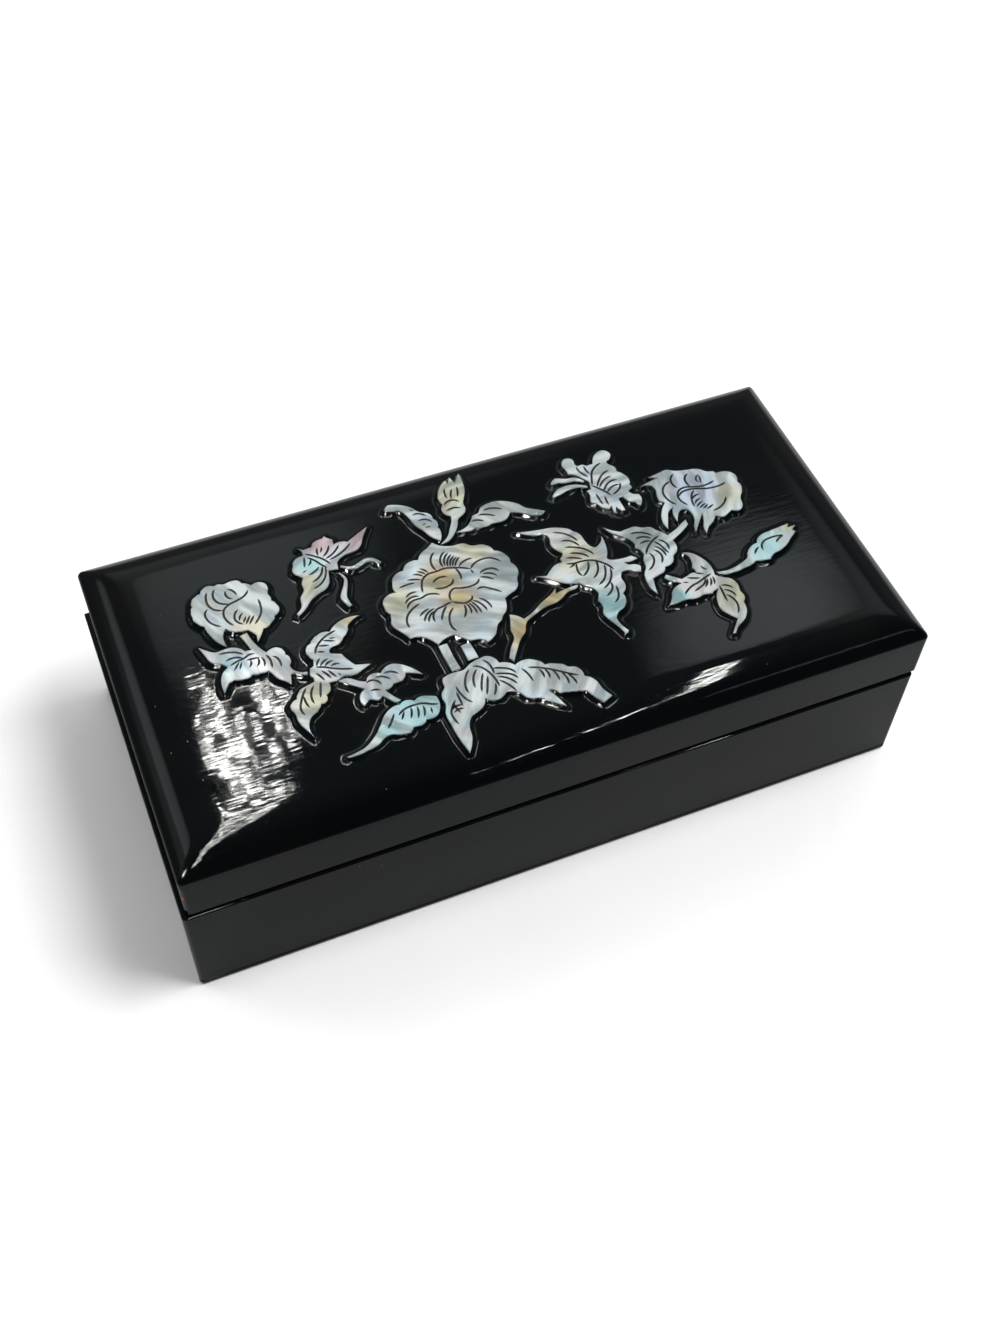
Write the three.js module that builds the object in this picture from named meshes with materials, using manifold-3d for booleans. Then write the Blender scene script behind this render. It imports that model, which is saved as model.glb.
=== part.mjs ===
// A black lacquer jewelry box: a lined wooden base, a cushion-topped lid on two brass
// hinges, and flowers, leaves and butterflies of thick shell raised on the lid.
// Millimetres. X runs along the front, Y from front to back and Z up.
// The origin is the middle of the underside.
import * as THREE from "three";
import { mergeVertices } from "three/addons/utils/BufferGeometryUtils.js";
import Module from "manifold-3d";

// Box
const boxLength = 200;
const boxDepth = 100;
const baseHeight = 35; // underside to rim
const wallThickness = 8;
const bottomBoardThickness = 2;
const cornerRadius = 1; // upright corners
const cornerSteps = 4; // straight steps round one corner
const footChamfer = 0.5; // lower edge of the bottom board

// Lid
const lidGap = 0.6; // rim of the base to the lid, closed
const lidShiftX = 1.2; // the lid sits a little to the right of the base
const lidShiftY = 0.6; // and a little to the back
const lidSideHeight = 14.4; // flat upright side of the lid
const topBoardEdge = 3; // flat edge of the top board, under the crown
const crownHeight = 4.5; // side of the lid to its flat top
const crownWidth = 13; // the cushion shape reaches this far in from the edge
const crownPower = 3; // higher values round the edge more tightly
const crownRings = 6;
const crownRingSpread = 1.5; // above 1 the rings lie closer together near the edge

// Linings
const liningThickness = 1.5;
const liningGap = 0.3; // glue and nap between a lining and the wood
const liningBelowRim = 3;
const floorPadThickness = 3;
const lidPadThickness = 2.5;
const padRound = 1.2; // rounded upper edge of a pad

// Hinges
const openAngle = THREE.MathUtils.degToRad(100);
const hingeInset = 38; // end of the box to the middle of a hinge
const hingeLength = 18;
const hingeAxisInset = 1; // pin to the back face of the base
const barrelRadius = 1.5;
const pinRadius = 0.7;
const pinClearance = 0.1;
const leafThickness = 1;
const leafMargin = 0.5; // wood left inside the leaf
const hingeClearance = 0.3;
const stopClearance = 0.15; // each of the two bevels that meet when the lid is open
const roundSteps = 16;

// Screws
const screwLength = 5;
const screwShankRadius = 0.8;
const screwHeadRadius = 1.5;
const screwHeadHeight = 0.8;
const screwPointLength = 1.5;
const screwSlotWidth = 0.45;
const screwSlotDepth = 0.3;
const screwClearance = 0.1;
const screwSpacing = 10; // the two screws of one leaf
const screwSteps = 12;

// Shell inlay
const shellThickness = 1.2;
const drawnLength = 200; // the lid that the pieces below are drawn for
const drawnDepth = 100; // on another lid they stretch with it
const drawingShiftX = -1.4; // middle of the lid to middle of the drawing
const drawingShiftY = -1.65;
const arcStep = THREE.MathUtils.degToRad(24); // turn of one straight step of an arc
const stripSteps = 8;

// Places that follow from the sizes
const floorHeight = bottomBoardThickness;
const wallHeight = baseHeight - bottomBoardThickness;
const innerLength = boxLength - 2 * wallThickness;
const innerDepth = boxDepth - 2 * wallThickness;
const lidBottom = baseHeight + lidGap;
const crownBottom = lidBottom + lidSideHeight;
const topBoardBottom = crownBottom - topBoardEdge;
const lidTop = crownBottom + crownHeight;
const hingeAxisY = boxDepth / 2 - hingeAxisInset;
const hingeAxisZ = baseHeight + lidGap / 2;
const leafReach =
  wallThickness - hingeAxisInset - Math.abs(lidShiftY) - hingeClearance - leafMargin;
const screwRow = (barrelRadius + hingeClearance + leafReach) / 2; // pin to screws
const clearRadius = barrelRadius + hingeClearance;
const overcut = 1; // cutting tools run past the faces that they open
const sharpestCorner = 0.1; // least radius of a ring's corners
const sameVertex = 1e-5; // vertices closer than this are one vertex

// Materials
function finish(color, roughness, metalness) {
  return new THREE.MeshStandardMaterial({ color, roughness, metalness });
}
const lacquer = finish(0x15171a, 0.12, 0);
const velvet = finish(0x5c1320, 0.95, 0);
const brass = finish(0xb08d4a, 0.35, 1);
const shell = finish(0xc2cccf, 0.3, 0);

// Solids
const wasm = await Module();
wasm.setup();

function toSolid(geometry) {
  const bare = geometry.clone();
  bare.deleteAttribute("normal");
  bare.deleteAttribute("uv");
  const merged = mergeVertices(bare, sameVertex);
  return new wasm.Manifold(
    new wasm.Mesh({
      numProp: 3,
      vertProperties: new Float32Array(merged.attributes.position.array),
      triVerts: new Uint32Array(merged.index.array),
    }),
  );
}

function toGeometry(solid) {
  const mesh = solid.getMesh();
  const geometry = new THREE.BufferGeometry();
  geometry.setAttribute("position", new THREE.BufferAttribute(mesh.vertProperties, 3));
  geometry.setIndex(new THREE.BufferAttribute(mesh.triVerts, 1));
  geometry.computeVertexNormals();
  return geometry;
}

// Joins the first list of geometries and takes the second list away.
function carve(bodies, tools) {
  let solid = toSolid(bodies[0]);
  for (const body of bodies.slice(1)) {
    solid = solid.add(toSolid(body));
  }
  for (const tool of tools) {
    solid = solid.subtract(toSolid(tool));
  }
  return toGeometry(solid);
}

// A box given by its low and high corner.
function block(low, high) {
  const size = high.map((value, i) => value - low[i]);
  const geometry = new THREE.BoxGeometry(...size);
  geometry.translate(...low.map((value, i) => value + size[i] / 2));
  return geometry;
}

// A round bar along X between two places.
function barAlongX(radius, fromX, toX) {
  const geometry = new THREE.CylinderGeometry(radius, radius, toX - fromX, roundSteps);
  geometry.rotateZ(Math.PI / 2);
  geometry.translate((fromX + toX) / 2, 0, 0);
  return geometry;
}

// A profile of [y, z] points carried along X, centred on X = 0.
function profileAlongX(points, length) {
  const shape = new THREE.Shape(points.map(([y, z]) => new THREE.Vector2(y, z)));
  const geometry = new THREE.ExtrudeGeometry(shape, { depth: length, bevelEnabled: false });
  geometry.translate(0, 0, -length / 2);
  const toY = new THREE.Vector3(0, 1, 0);
  const toZ = new THREE.Vector3(0, 0, 1);
  const toX = new THREE.Vector3(1, 0, 0);
  geometry.applyMatrix4(new THREE.Matrix4().makeBasis(toY, toZ, toX));
  return geometry;
}

// A rounded rectangle that steps in and out as it rises. Each ring is [inset, height].
function slab(length, depth, radius, rings) {
  const positions = [];
  for (const [inset, z] of rings) {
    const turn = Math.max(radius - inset, sharpestCorner);
    const middleX = length / 2 - inset - turn;
    const middleY = depth / 2 - inset - turn;
    for (let corner = 0; corner < 4; corner++) {
      const signX = corner === 0 || corner === 3 ? 1 : -1;
      const signY = corner < 2 ? 1 : -1;
      for (let step = 0; step <= cornerSteps; step++) {
        const angle = (corner + step / cornerSteps) * (Math.PI / 2);
        positions.push(signX * middleX + turn * Math.cos(angle));
        positions.push(signY * middleY + turn * Math.sin(angle));
        positions.push(z);
      }
    }
  }
  const around = 4 * (cornerSteps + 1);
  const faces = [];
  for (let ring = 0; ring < rings.length - 1; ring++) {
    for (let i = 0; i < around; i++) {
      const low = ring * around + i;
      const lowNext = ring * around + ((i + 1) % around);
      faces.push(low, lowNext, lowNext + around);
      faces.push(low, lowNext + around, low + around);
    }
  }
  const lastRing = (rings.length - 1) * around;
  for (let i = 1; i < around - 1; i++) {
    faces.push(0, i + 1, i);
    faces.push(lastRing, lastRing + i, lastRing + i + 1);
  }
  const geometry = new THREE.BufferGeometry();
  geometry.setAttribute("position", new THREE.Float32BufferAttribute(positions, 3));
  geometry.setIndex(faces);
  geometry.computeVertexNormals();
  return geometry;
}

// A wall along X whose outer face is y = 0 and whose two outer corners are rounded.
function roundedWall(length, thickness, height) {
  const shape = new THREE.Shape();
  shape.moveTo(-length / 2, thickness);
  shape.absarc(-length / 2 + cornerRadius, cornerRadius, cornerRadius, Math.PI, 1.5 * Math.PI);
  shape.absarc(length / 2 - cornerRadius, cornerRadius, cornerRadius, 1.5 * Math.PI, 2 * Math.PI);
  shape.lineTo(length / 2, thickness);
  return new THREE.ExtrudeGeometry(shape, {
    depth: height,
    bevelEnabled: false,
    curveSegments: cornerSteps,
  });
}

function part(name, geometry, material) {
  const mesh = new THREE.Mesh(geometry, material);
  mesh.name = name;
  return mesh;
}

// Hinge, drawn around its pin: X along the pin, the leaves reach towards -Y
const knuckleLength = hingeLength / 3;
const outerKnuckles = [
  [-hingeLength / 2, -knuckleLength / 2 - hingeClearance / 2],
  [knuckleLength / 2 + hingeClearance / 2, hingeLength / 2],
];
const middleKnuckle = [
  [-knuckleLength / 2 + hingeClearance / 2, knuckleLength / 2 - hingeClearance / 2],
];
const screwPlaces = [-screwSpacing / 2, screwSpacing / 2];

// A round body about Z from a profile of [radius, z] points, lowest first.
function lathed(points) {
  const profile = points.map(([radius, z]) => new THREE.Vector2(radius, z));
  const geometry = new THREE.LatheGeometry(profile, screwSteps);
  geometry.rotateX(Math.PI / 2);
  return geometry;
}

// A countersunk screw that points down, with the top of its head at z = 0.
function screw() {
  const body = lathed([
    [0, -screwLength],
    [screwShankRadius, screwPointLength - screwLength],
    [screwShankRadius, -screwHeadHeight],
    [screwHeadRadius, 0],
    [0, 0],
  ]);
  const slot = block(
    [-screwHeadRadius - overcut, -screwSlotWidth / 2, -screwSlotDepth],
    [screwHeadRadius + overcut, screwSlotWidth / 2, overcut],
  );
  return carve([body], [slot]);
}

function screwHole() {
  const shankRadius = screwShankRadius + screwClearance;
  const headRadius = screwHeadRadius + screwClearance;
  return lathed([
    [0, -screwLength - screwClearance],
    [shankRadius, -screwLength - screwClearance],
    [shankRadius, -screwHeadHeight],
    [headRadius, 0],
    [headRadius, overcut],
    [0, overcut],
  ]);
}

function movedTo(geometry, x, y, z) {
  geometry.translate(x, y, z);
  return geometry;
}

function hingeScrewHoles() {
  return screwPlaces.map((x) => movedTo(screwHole(), x, -screwRow, -lidGap / 2));
}

// A leaf below the pin, with its own knuckles and room for those of the other leaf.
function hingeLeaf(ownKnuckles, otherKnuckles) {
  const plate = block(
    [-hingeLength / 2, -leafReach, -lidGap / 2 - leafThickness],
    [hingeLength / 2, 0, -lidGap / 2],
  );
  const room = otherKnuckles.map(([from, to]) =>
    barAlongX(clearRadius, from - hingeClearance, to + hingeClearance),
  );
  const leaf = carve([plate], room);
  const knuckles = ownKnuckles.map(([from, to]) => barAlongX(barrelRadius, from, to));
  const bore = barAlongX(
    pinRadius + pinClearance,
    -hingeLength / 2 - overcut,
    hingeLength / 2 + overcut,
  );
  return carve([leaf, ...knuckles], [bore, ...hingeScrewHoles()]);
}

// What one hinge takes out of the wood below the pin.
function hingeMortise() {
  const end = hingeLength / 2 + hingeClearance;
  const seat = block(
    [-end, -leafReach - hingeClearance, -lidGap / 2 - leafThickness],
    [end, 0, overcut],
  );
  return [seat, barAlongX(clearRadius, -end, end), ...hingeScrewHoles()];
}

// The bevel along a back edge, below the pin. Two of them meet when the lid is open.
// backY is the back face, measured from the pin.
function stopBevel(backY) {
  const normal = [Math.sin(openAngle / 2), Math.cos(openAngle / 2)];
  const rimZ = -lidGap / 2;
  const startY = (-stopClearance - normal[1] * rimZ) / normal[0];
  const endY = backY + overcut;
  const endZ = (-stopClearance - normal[0] * endY) / normal[1];
  const above = rimZ + overcut;
  const aboveY = (-stopClearance - normal[1] * above) / normal[0];
  const points = [
    [startY, rimZ],
    [endY, endZ],
    [endY, above],
    [aboveY, above],
  ];
  return profileAlongX(points, boxLength + 2 * (overcut + Math.abs(lidShiftX)));
}

const hingePlaces = { left: -boxLength / 2 + hingeInset, right: boxLength / 2 - hingeInset };

// All cuts that the two hinges and the bevel make below the pins.
function hingeCuts(backY) {
  const cuts = [stopBevel(backY)];
  for (const x of Object.values(hingePlaces)) {
    for (const tool of hingeMortise()) {
      cuts.push(movedTo(tool, x, 0, 0));
    }
  }
  return cuts;
}

// The two short walls of a frame, between its front and back ones.
function sideWalls(namedBy, bottom, top) {
  const outer = boxLength / 2;
  const spans = {
    left: [-outer, -outer + wallThickness],
    right: [outer - wallThickness, outer],
  };
  return Object.entries(spans).map(([side, [low, high]]) => {
    const wall = block([low, -innerDepth / 2, bottom], [high, innerDepth / 2, top]);
    return part(namedBy(side), wall, lacquer);
  });
}

// Base
function baseWalls() {
  const frontWall = roundedWall(boxLength, wallThickness, wallHeight);
  const front = part("base_front_wall", frontWall, lacquer);
  front.position.set(0, -boxDepth / 2, floorHeight);
  const backBlank = roundedWall(boxLength, wallThickness, wallHeight);
  backBlank.rotateZ(Math.PI);
  backBlank.translate(0, hingeAxisInset, floorHeight - hingeAxisZ);
  const back = part("base_back_wall", carve([backBlank], hingeCuts(hingeAxisInset)), lacquer);
  back.position.set(0, hingeAxisY, hingeAxisZ);
  const sides = sideWalls((side) => `base_${side}_wall`, floorHeight, baseHeight);
  return [front, back, ...sides];
}

function bottomBoard() {
  const rings = [
    [footChamfer, 0],
    [0, footChamfer],
    [0, bottomBoardThickness],
  ];
  return part("base_bottom_board", slab(boxLength, boxDepth, cornerRadius, rings), lacquer);
}

// Linings
function liningStrip(length, height) {
  const points = [
    [0, 0],
    [liningThickness, 0],
    [liningThickness, height - liningThickness / 2],
    [liningThickness / 2, height],
    [0, height],
  ];
  return profileAlongX(points, length);
}

function wallLinings() {
  const height = baseHeight - liningBelowRim - floorHeight - liningGap;
  const longLength = innerLength - 2 * liningGap;
  const shortLength = innerDepth - 4 * liningGap - 2 * liningThickness;
  const places = {
    front: [longLength, 0, 0, -innerDepth / 2],
    right: [shortLength, Math.PI / 2, innerLength / 2, 0],
    back: [longLength, Math.PI, 0, innerDepth / 2],
    left: [shortLength, -Math.PI / 2, -innerLength / 2, 0],
  };
  return Object.entries(places).map(([side, [length, turn, x, y]]) => {
    const strip = liningStrip(length, height);
    strip.translate(0, liningGap, 0);
    strip.rotateZ(turn);
    strip.translate(x, y, floorHeight + liningGap);
    return part(`base_lining_${side}`, strip, velvet);
  });
}

// A flat pad with a rounded edge, seated at z = 0.
function pad(length, depth, thickness) {
  const halfwayRound = padRound * (1 - Math.SQRT1_2);
  const rings = [
    [0, 0],
    [0, thickness - padRound],
    [halfwayRound, thickness - halfwayRound],
    [padRound, thickness],
  ];
  return slab(length, depth, padRound, rings);
}

function floorPad() {
  const inFromWall = 2 * liningGap + liningThickness;
  const geometry = pad(innerLength - 2 * inFromWall, innerDepth - 2 * inFromWall, floorPadThickness);
  const mesh = part("base_floor_pad", geometry, velvet);
  mesh.position.z = floorHeight;
  return mesh;
}

// Lid
function lidRails() {
  const height = topBoardBottom - lidBottom;
  const front = part("lid_front_rail", roundedWall(boxLength, wallThickness, height), lacquer);
  front.position.set(0, -boxDepth / 2, lidBottom);
  const backFace = boxDepth / 2 + lidShiftY - hingeAxisY;
  const backBlank = roundedWall(boxLength, wallThickness, height);
  backBlank.rotateZ(Math.PI);
  backBlank.translate(lidShiftX, backFace, lidBottom - hingeAxisZ);
  const cuts = hingeCuts(backFace);
  for (const tool of cuts) {
    tool.rotateY(Math.PI); // turned over, for the wood above the pins
  }
  const back = part("lid_back_rail", carve([backBlank], cuts), lacquer);
  back.position.set(-lidShiftX, hingeAxisY - lidShiftY, hingeAxisZ);
  const sides = sideWalls((side) => `lid_${side}_rail`, lidBottom, topBoardBottom);
  return [front, back, ...sides];
}

// Height of the cushion shape above the lid's side, at a distance in from its edge.
function crownAt(inset) {
  return crownHeight * (1 - (1 - inset / crownWidth) ** crownPower);
}

function topBoard() {
  const rings = [
    [0, topBoardBottom],
    [0, crownBottom],
  ];
  for (let step = 1; step <= crownRings; step++) {
    const inset = crownWidth * (step / crownRings) ** crownRingSpread;
    rings.push([inset, crownBottom + crownAt(inset)]);
  }
  return part("lid_top_board", slab(boxLength, boxDepth, cornerRadius, rings), lacquer);
}

function lidPad() {
  const geometry = pad(innerLength - 2 * liningGap, innerDepth - 2 * liningGap, lidPadThickness);
  geometry.rotateX(Math.PI);
  const mesh = part("lid_lining_pad", geometry, velvet);
  mesh.position.z = topBoardBottom;
  return mesh;
}

// Hinges
function hingeParts() {
  const base = [];
  const lid = [];
  for (const [side, x] of Object.entries(hingePlaces)) {
    const baseLeaf = hingeLeaf(outerKnuckles, middleKnuckle);
    const lidLeaf = hingeLeaf(middleKnuckle, outerKnuckles);
    lidLeaf.rotateY(Math.PI);
    const pin = barAlongX(pinRadius, -hingeLength / 2, hingeLength / 2);
    base.push(part(`hinge_${side}_base_leaf`, movedTo(baseLeaf, x, 0, 0), brass));
    base.push(part(`hinge_${side}_pin`, movedTo(pin, x, 0, 0), brass));
    lid.push(part(`hinge_${side}_lid_leaf`, movedTo(lidLeaf, x, 0, 0), brass));
    screwPlaces.forEach((along, i) => {
      const down = movedTo(screw(), along + x, -screwRow, -lidGap / 2);
      const up = screw();
      up.rotateX(Math.PI);
      up.translate(along + x, -screwRow, lidGap / 2);
      base.push(part(`hinge_${side}_base_screw_${i + 1}`, down, brass));
      lid.push(part(`hinge_${side}_lid_screw_${i + 1}`, up, brass));
    });
  }
  return [...base, ...lid];
}

// Shell inlay
// An outline is a list of [x, y, bulge] around the piece. The bulge is that of the arc to
// the next point: its rise over half its chord, outwards where positive, 0 for a line.
function outlinePoints(outline) {
  const corners = outline.map(([x, y]) => new THREE.Vector2(x, y));
  const outwards = THREE.ShapeUtils.isClockWise(corners) ? 1 : -1;
  const points = [];
  outline.forEach(([x, y, bulge = 0], i) => {
    const [nextX, nextY] = outline[(i + 1) % outline.length];
    const turn = 4 * Math.atan(bulge) * outwards;
    const steps = Math.max(1, Math.round(Math.abs(turn) / arcStep));
    for (let step = 0; step < steps; step++) {
      const t = step / steps;
      // Share of the chord gone, and the height beside it, for an arc of this turn
      const full = Math.sin(turn / 2);
      const along = turn === 0 ? t : (Math.sin(turn * t - turn / 2) + full) / (2 * full);
      const rise = turn === 0 ? 0 : (Math.cos(turn * t - turn / 2) - Math.cos(turn / 2)) / (2 * full);
      const dx = nextX - x;
      const dy = nextY - y;
      points.push(new THREE.Vector2(x + along * dx - rise * dy, y + along * dy + rise * dx));
    }
  });
  return points;
}

// A stem or feeler: a smooth line through [x, y, half width] points.
function stripPoints(spine) {
  const line = new THREE.SplineCurve(spine.map(([x, y]) => new THREE.Vector2(x, y)));
  const left = [];
  const right = [];
  for (let step = 0; step <= stripSteps; step++) {
    const t = step / stripSteps;
    const place = t * (spine.length - 1);
    const before = Math.min(Math.floor(place), spine.length - 2);
    const width = THREE.MathUtils.lerp(spine[before][2], spine[before + 1][2], place - before);
    const point = line.getPoint(t);
    const ahead = line.getTangent(t);
    left.push(new THREE.Vector2(point.x - ahead.y * width, point.y + ahead.x * width));
    right.unshift(new THREE.Vector2(point.x + ahead.y * width, point.y - ahead.x * width));
  }
  return [...left, ...right];
}

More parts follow.
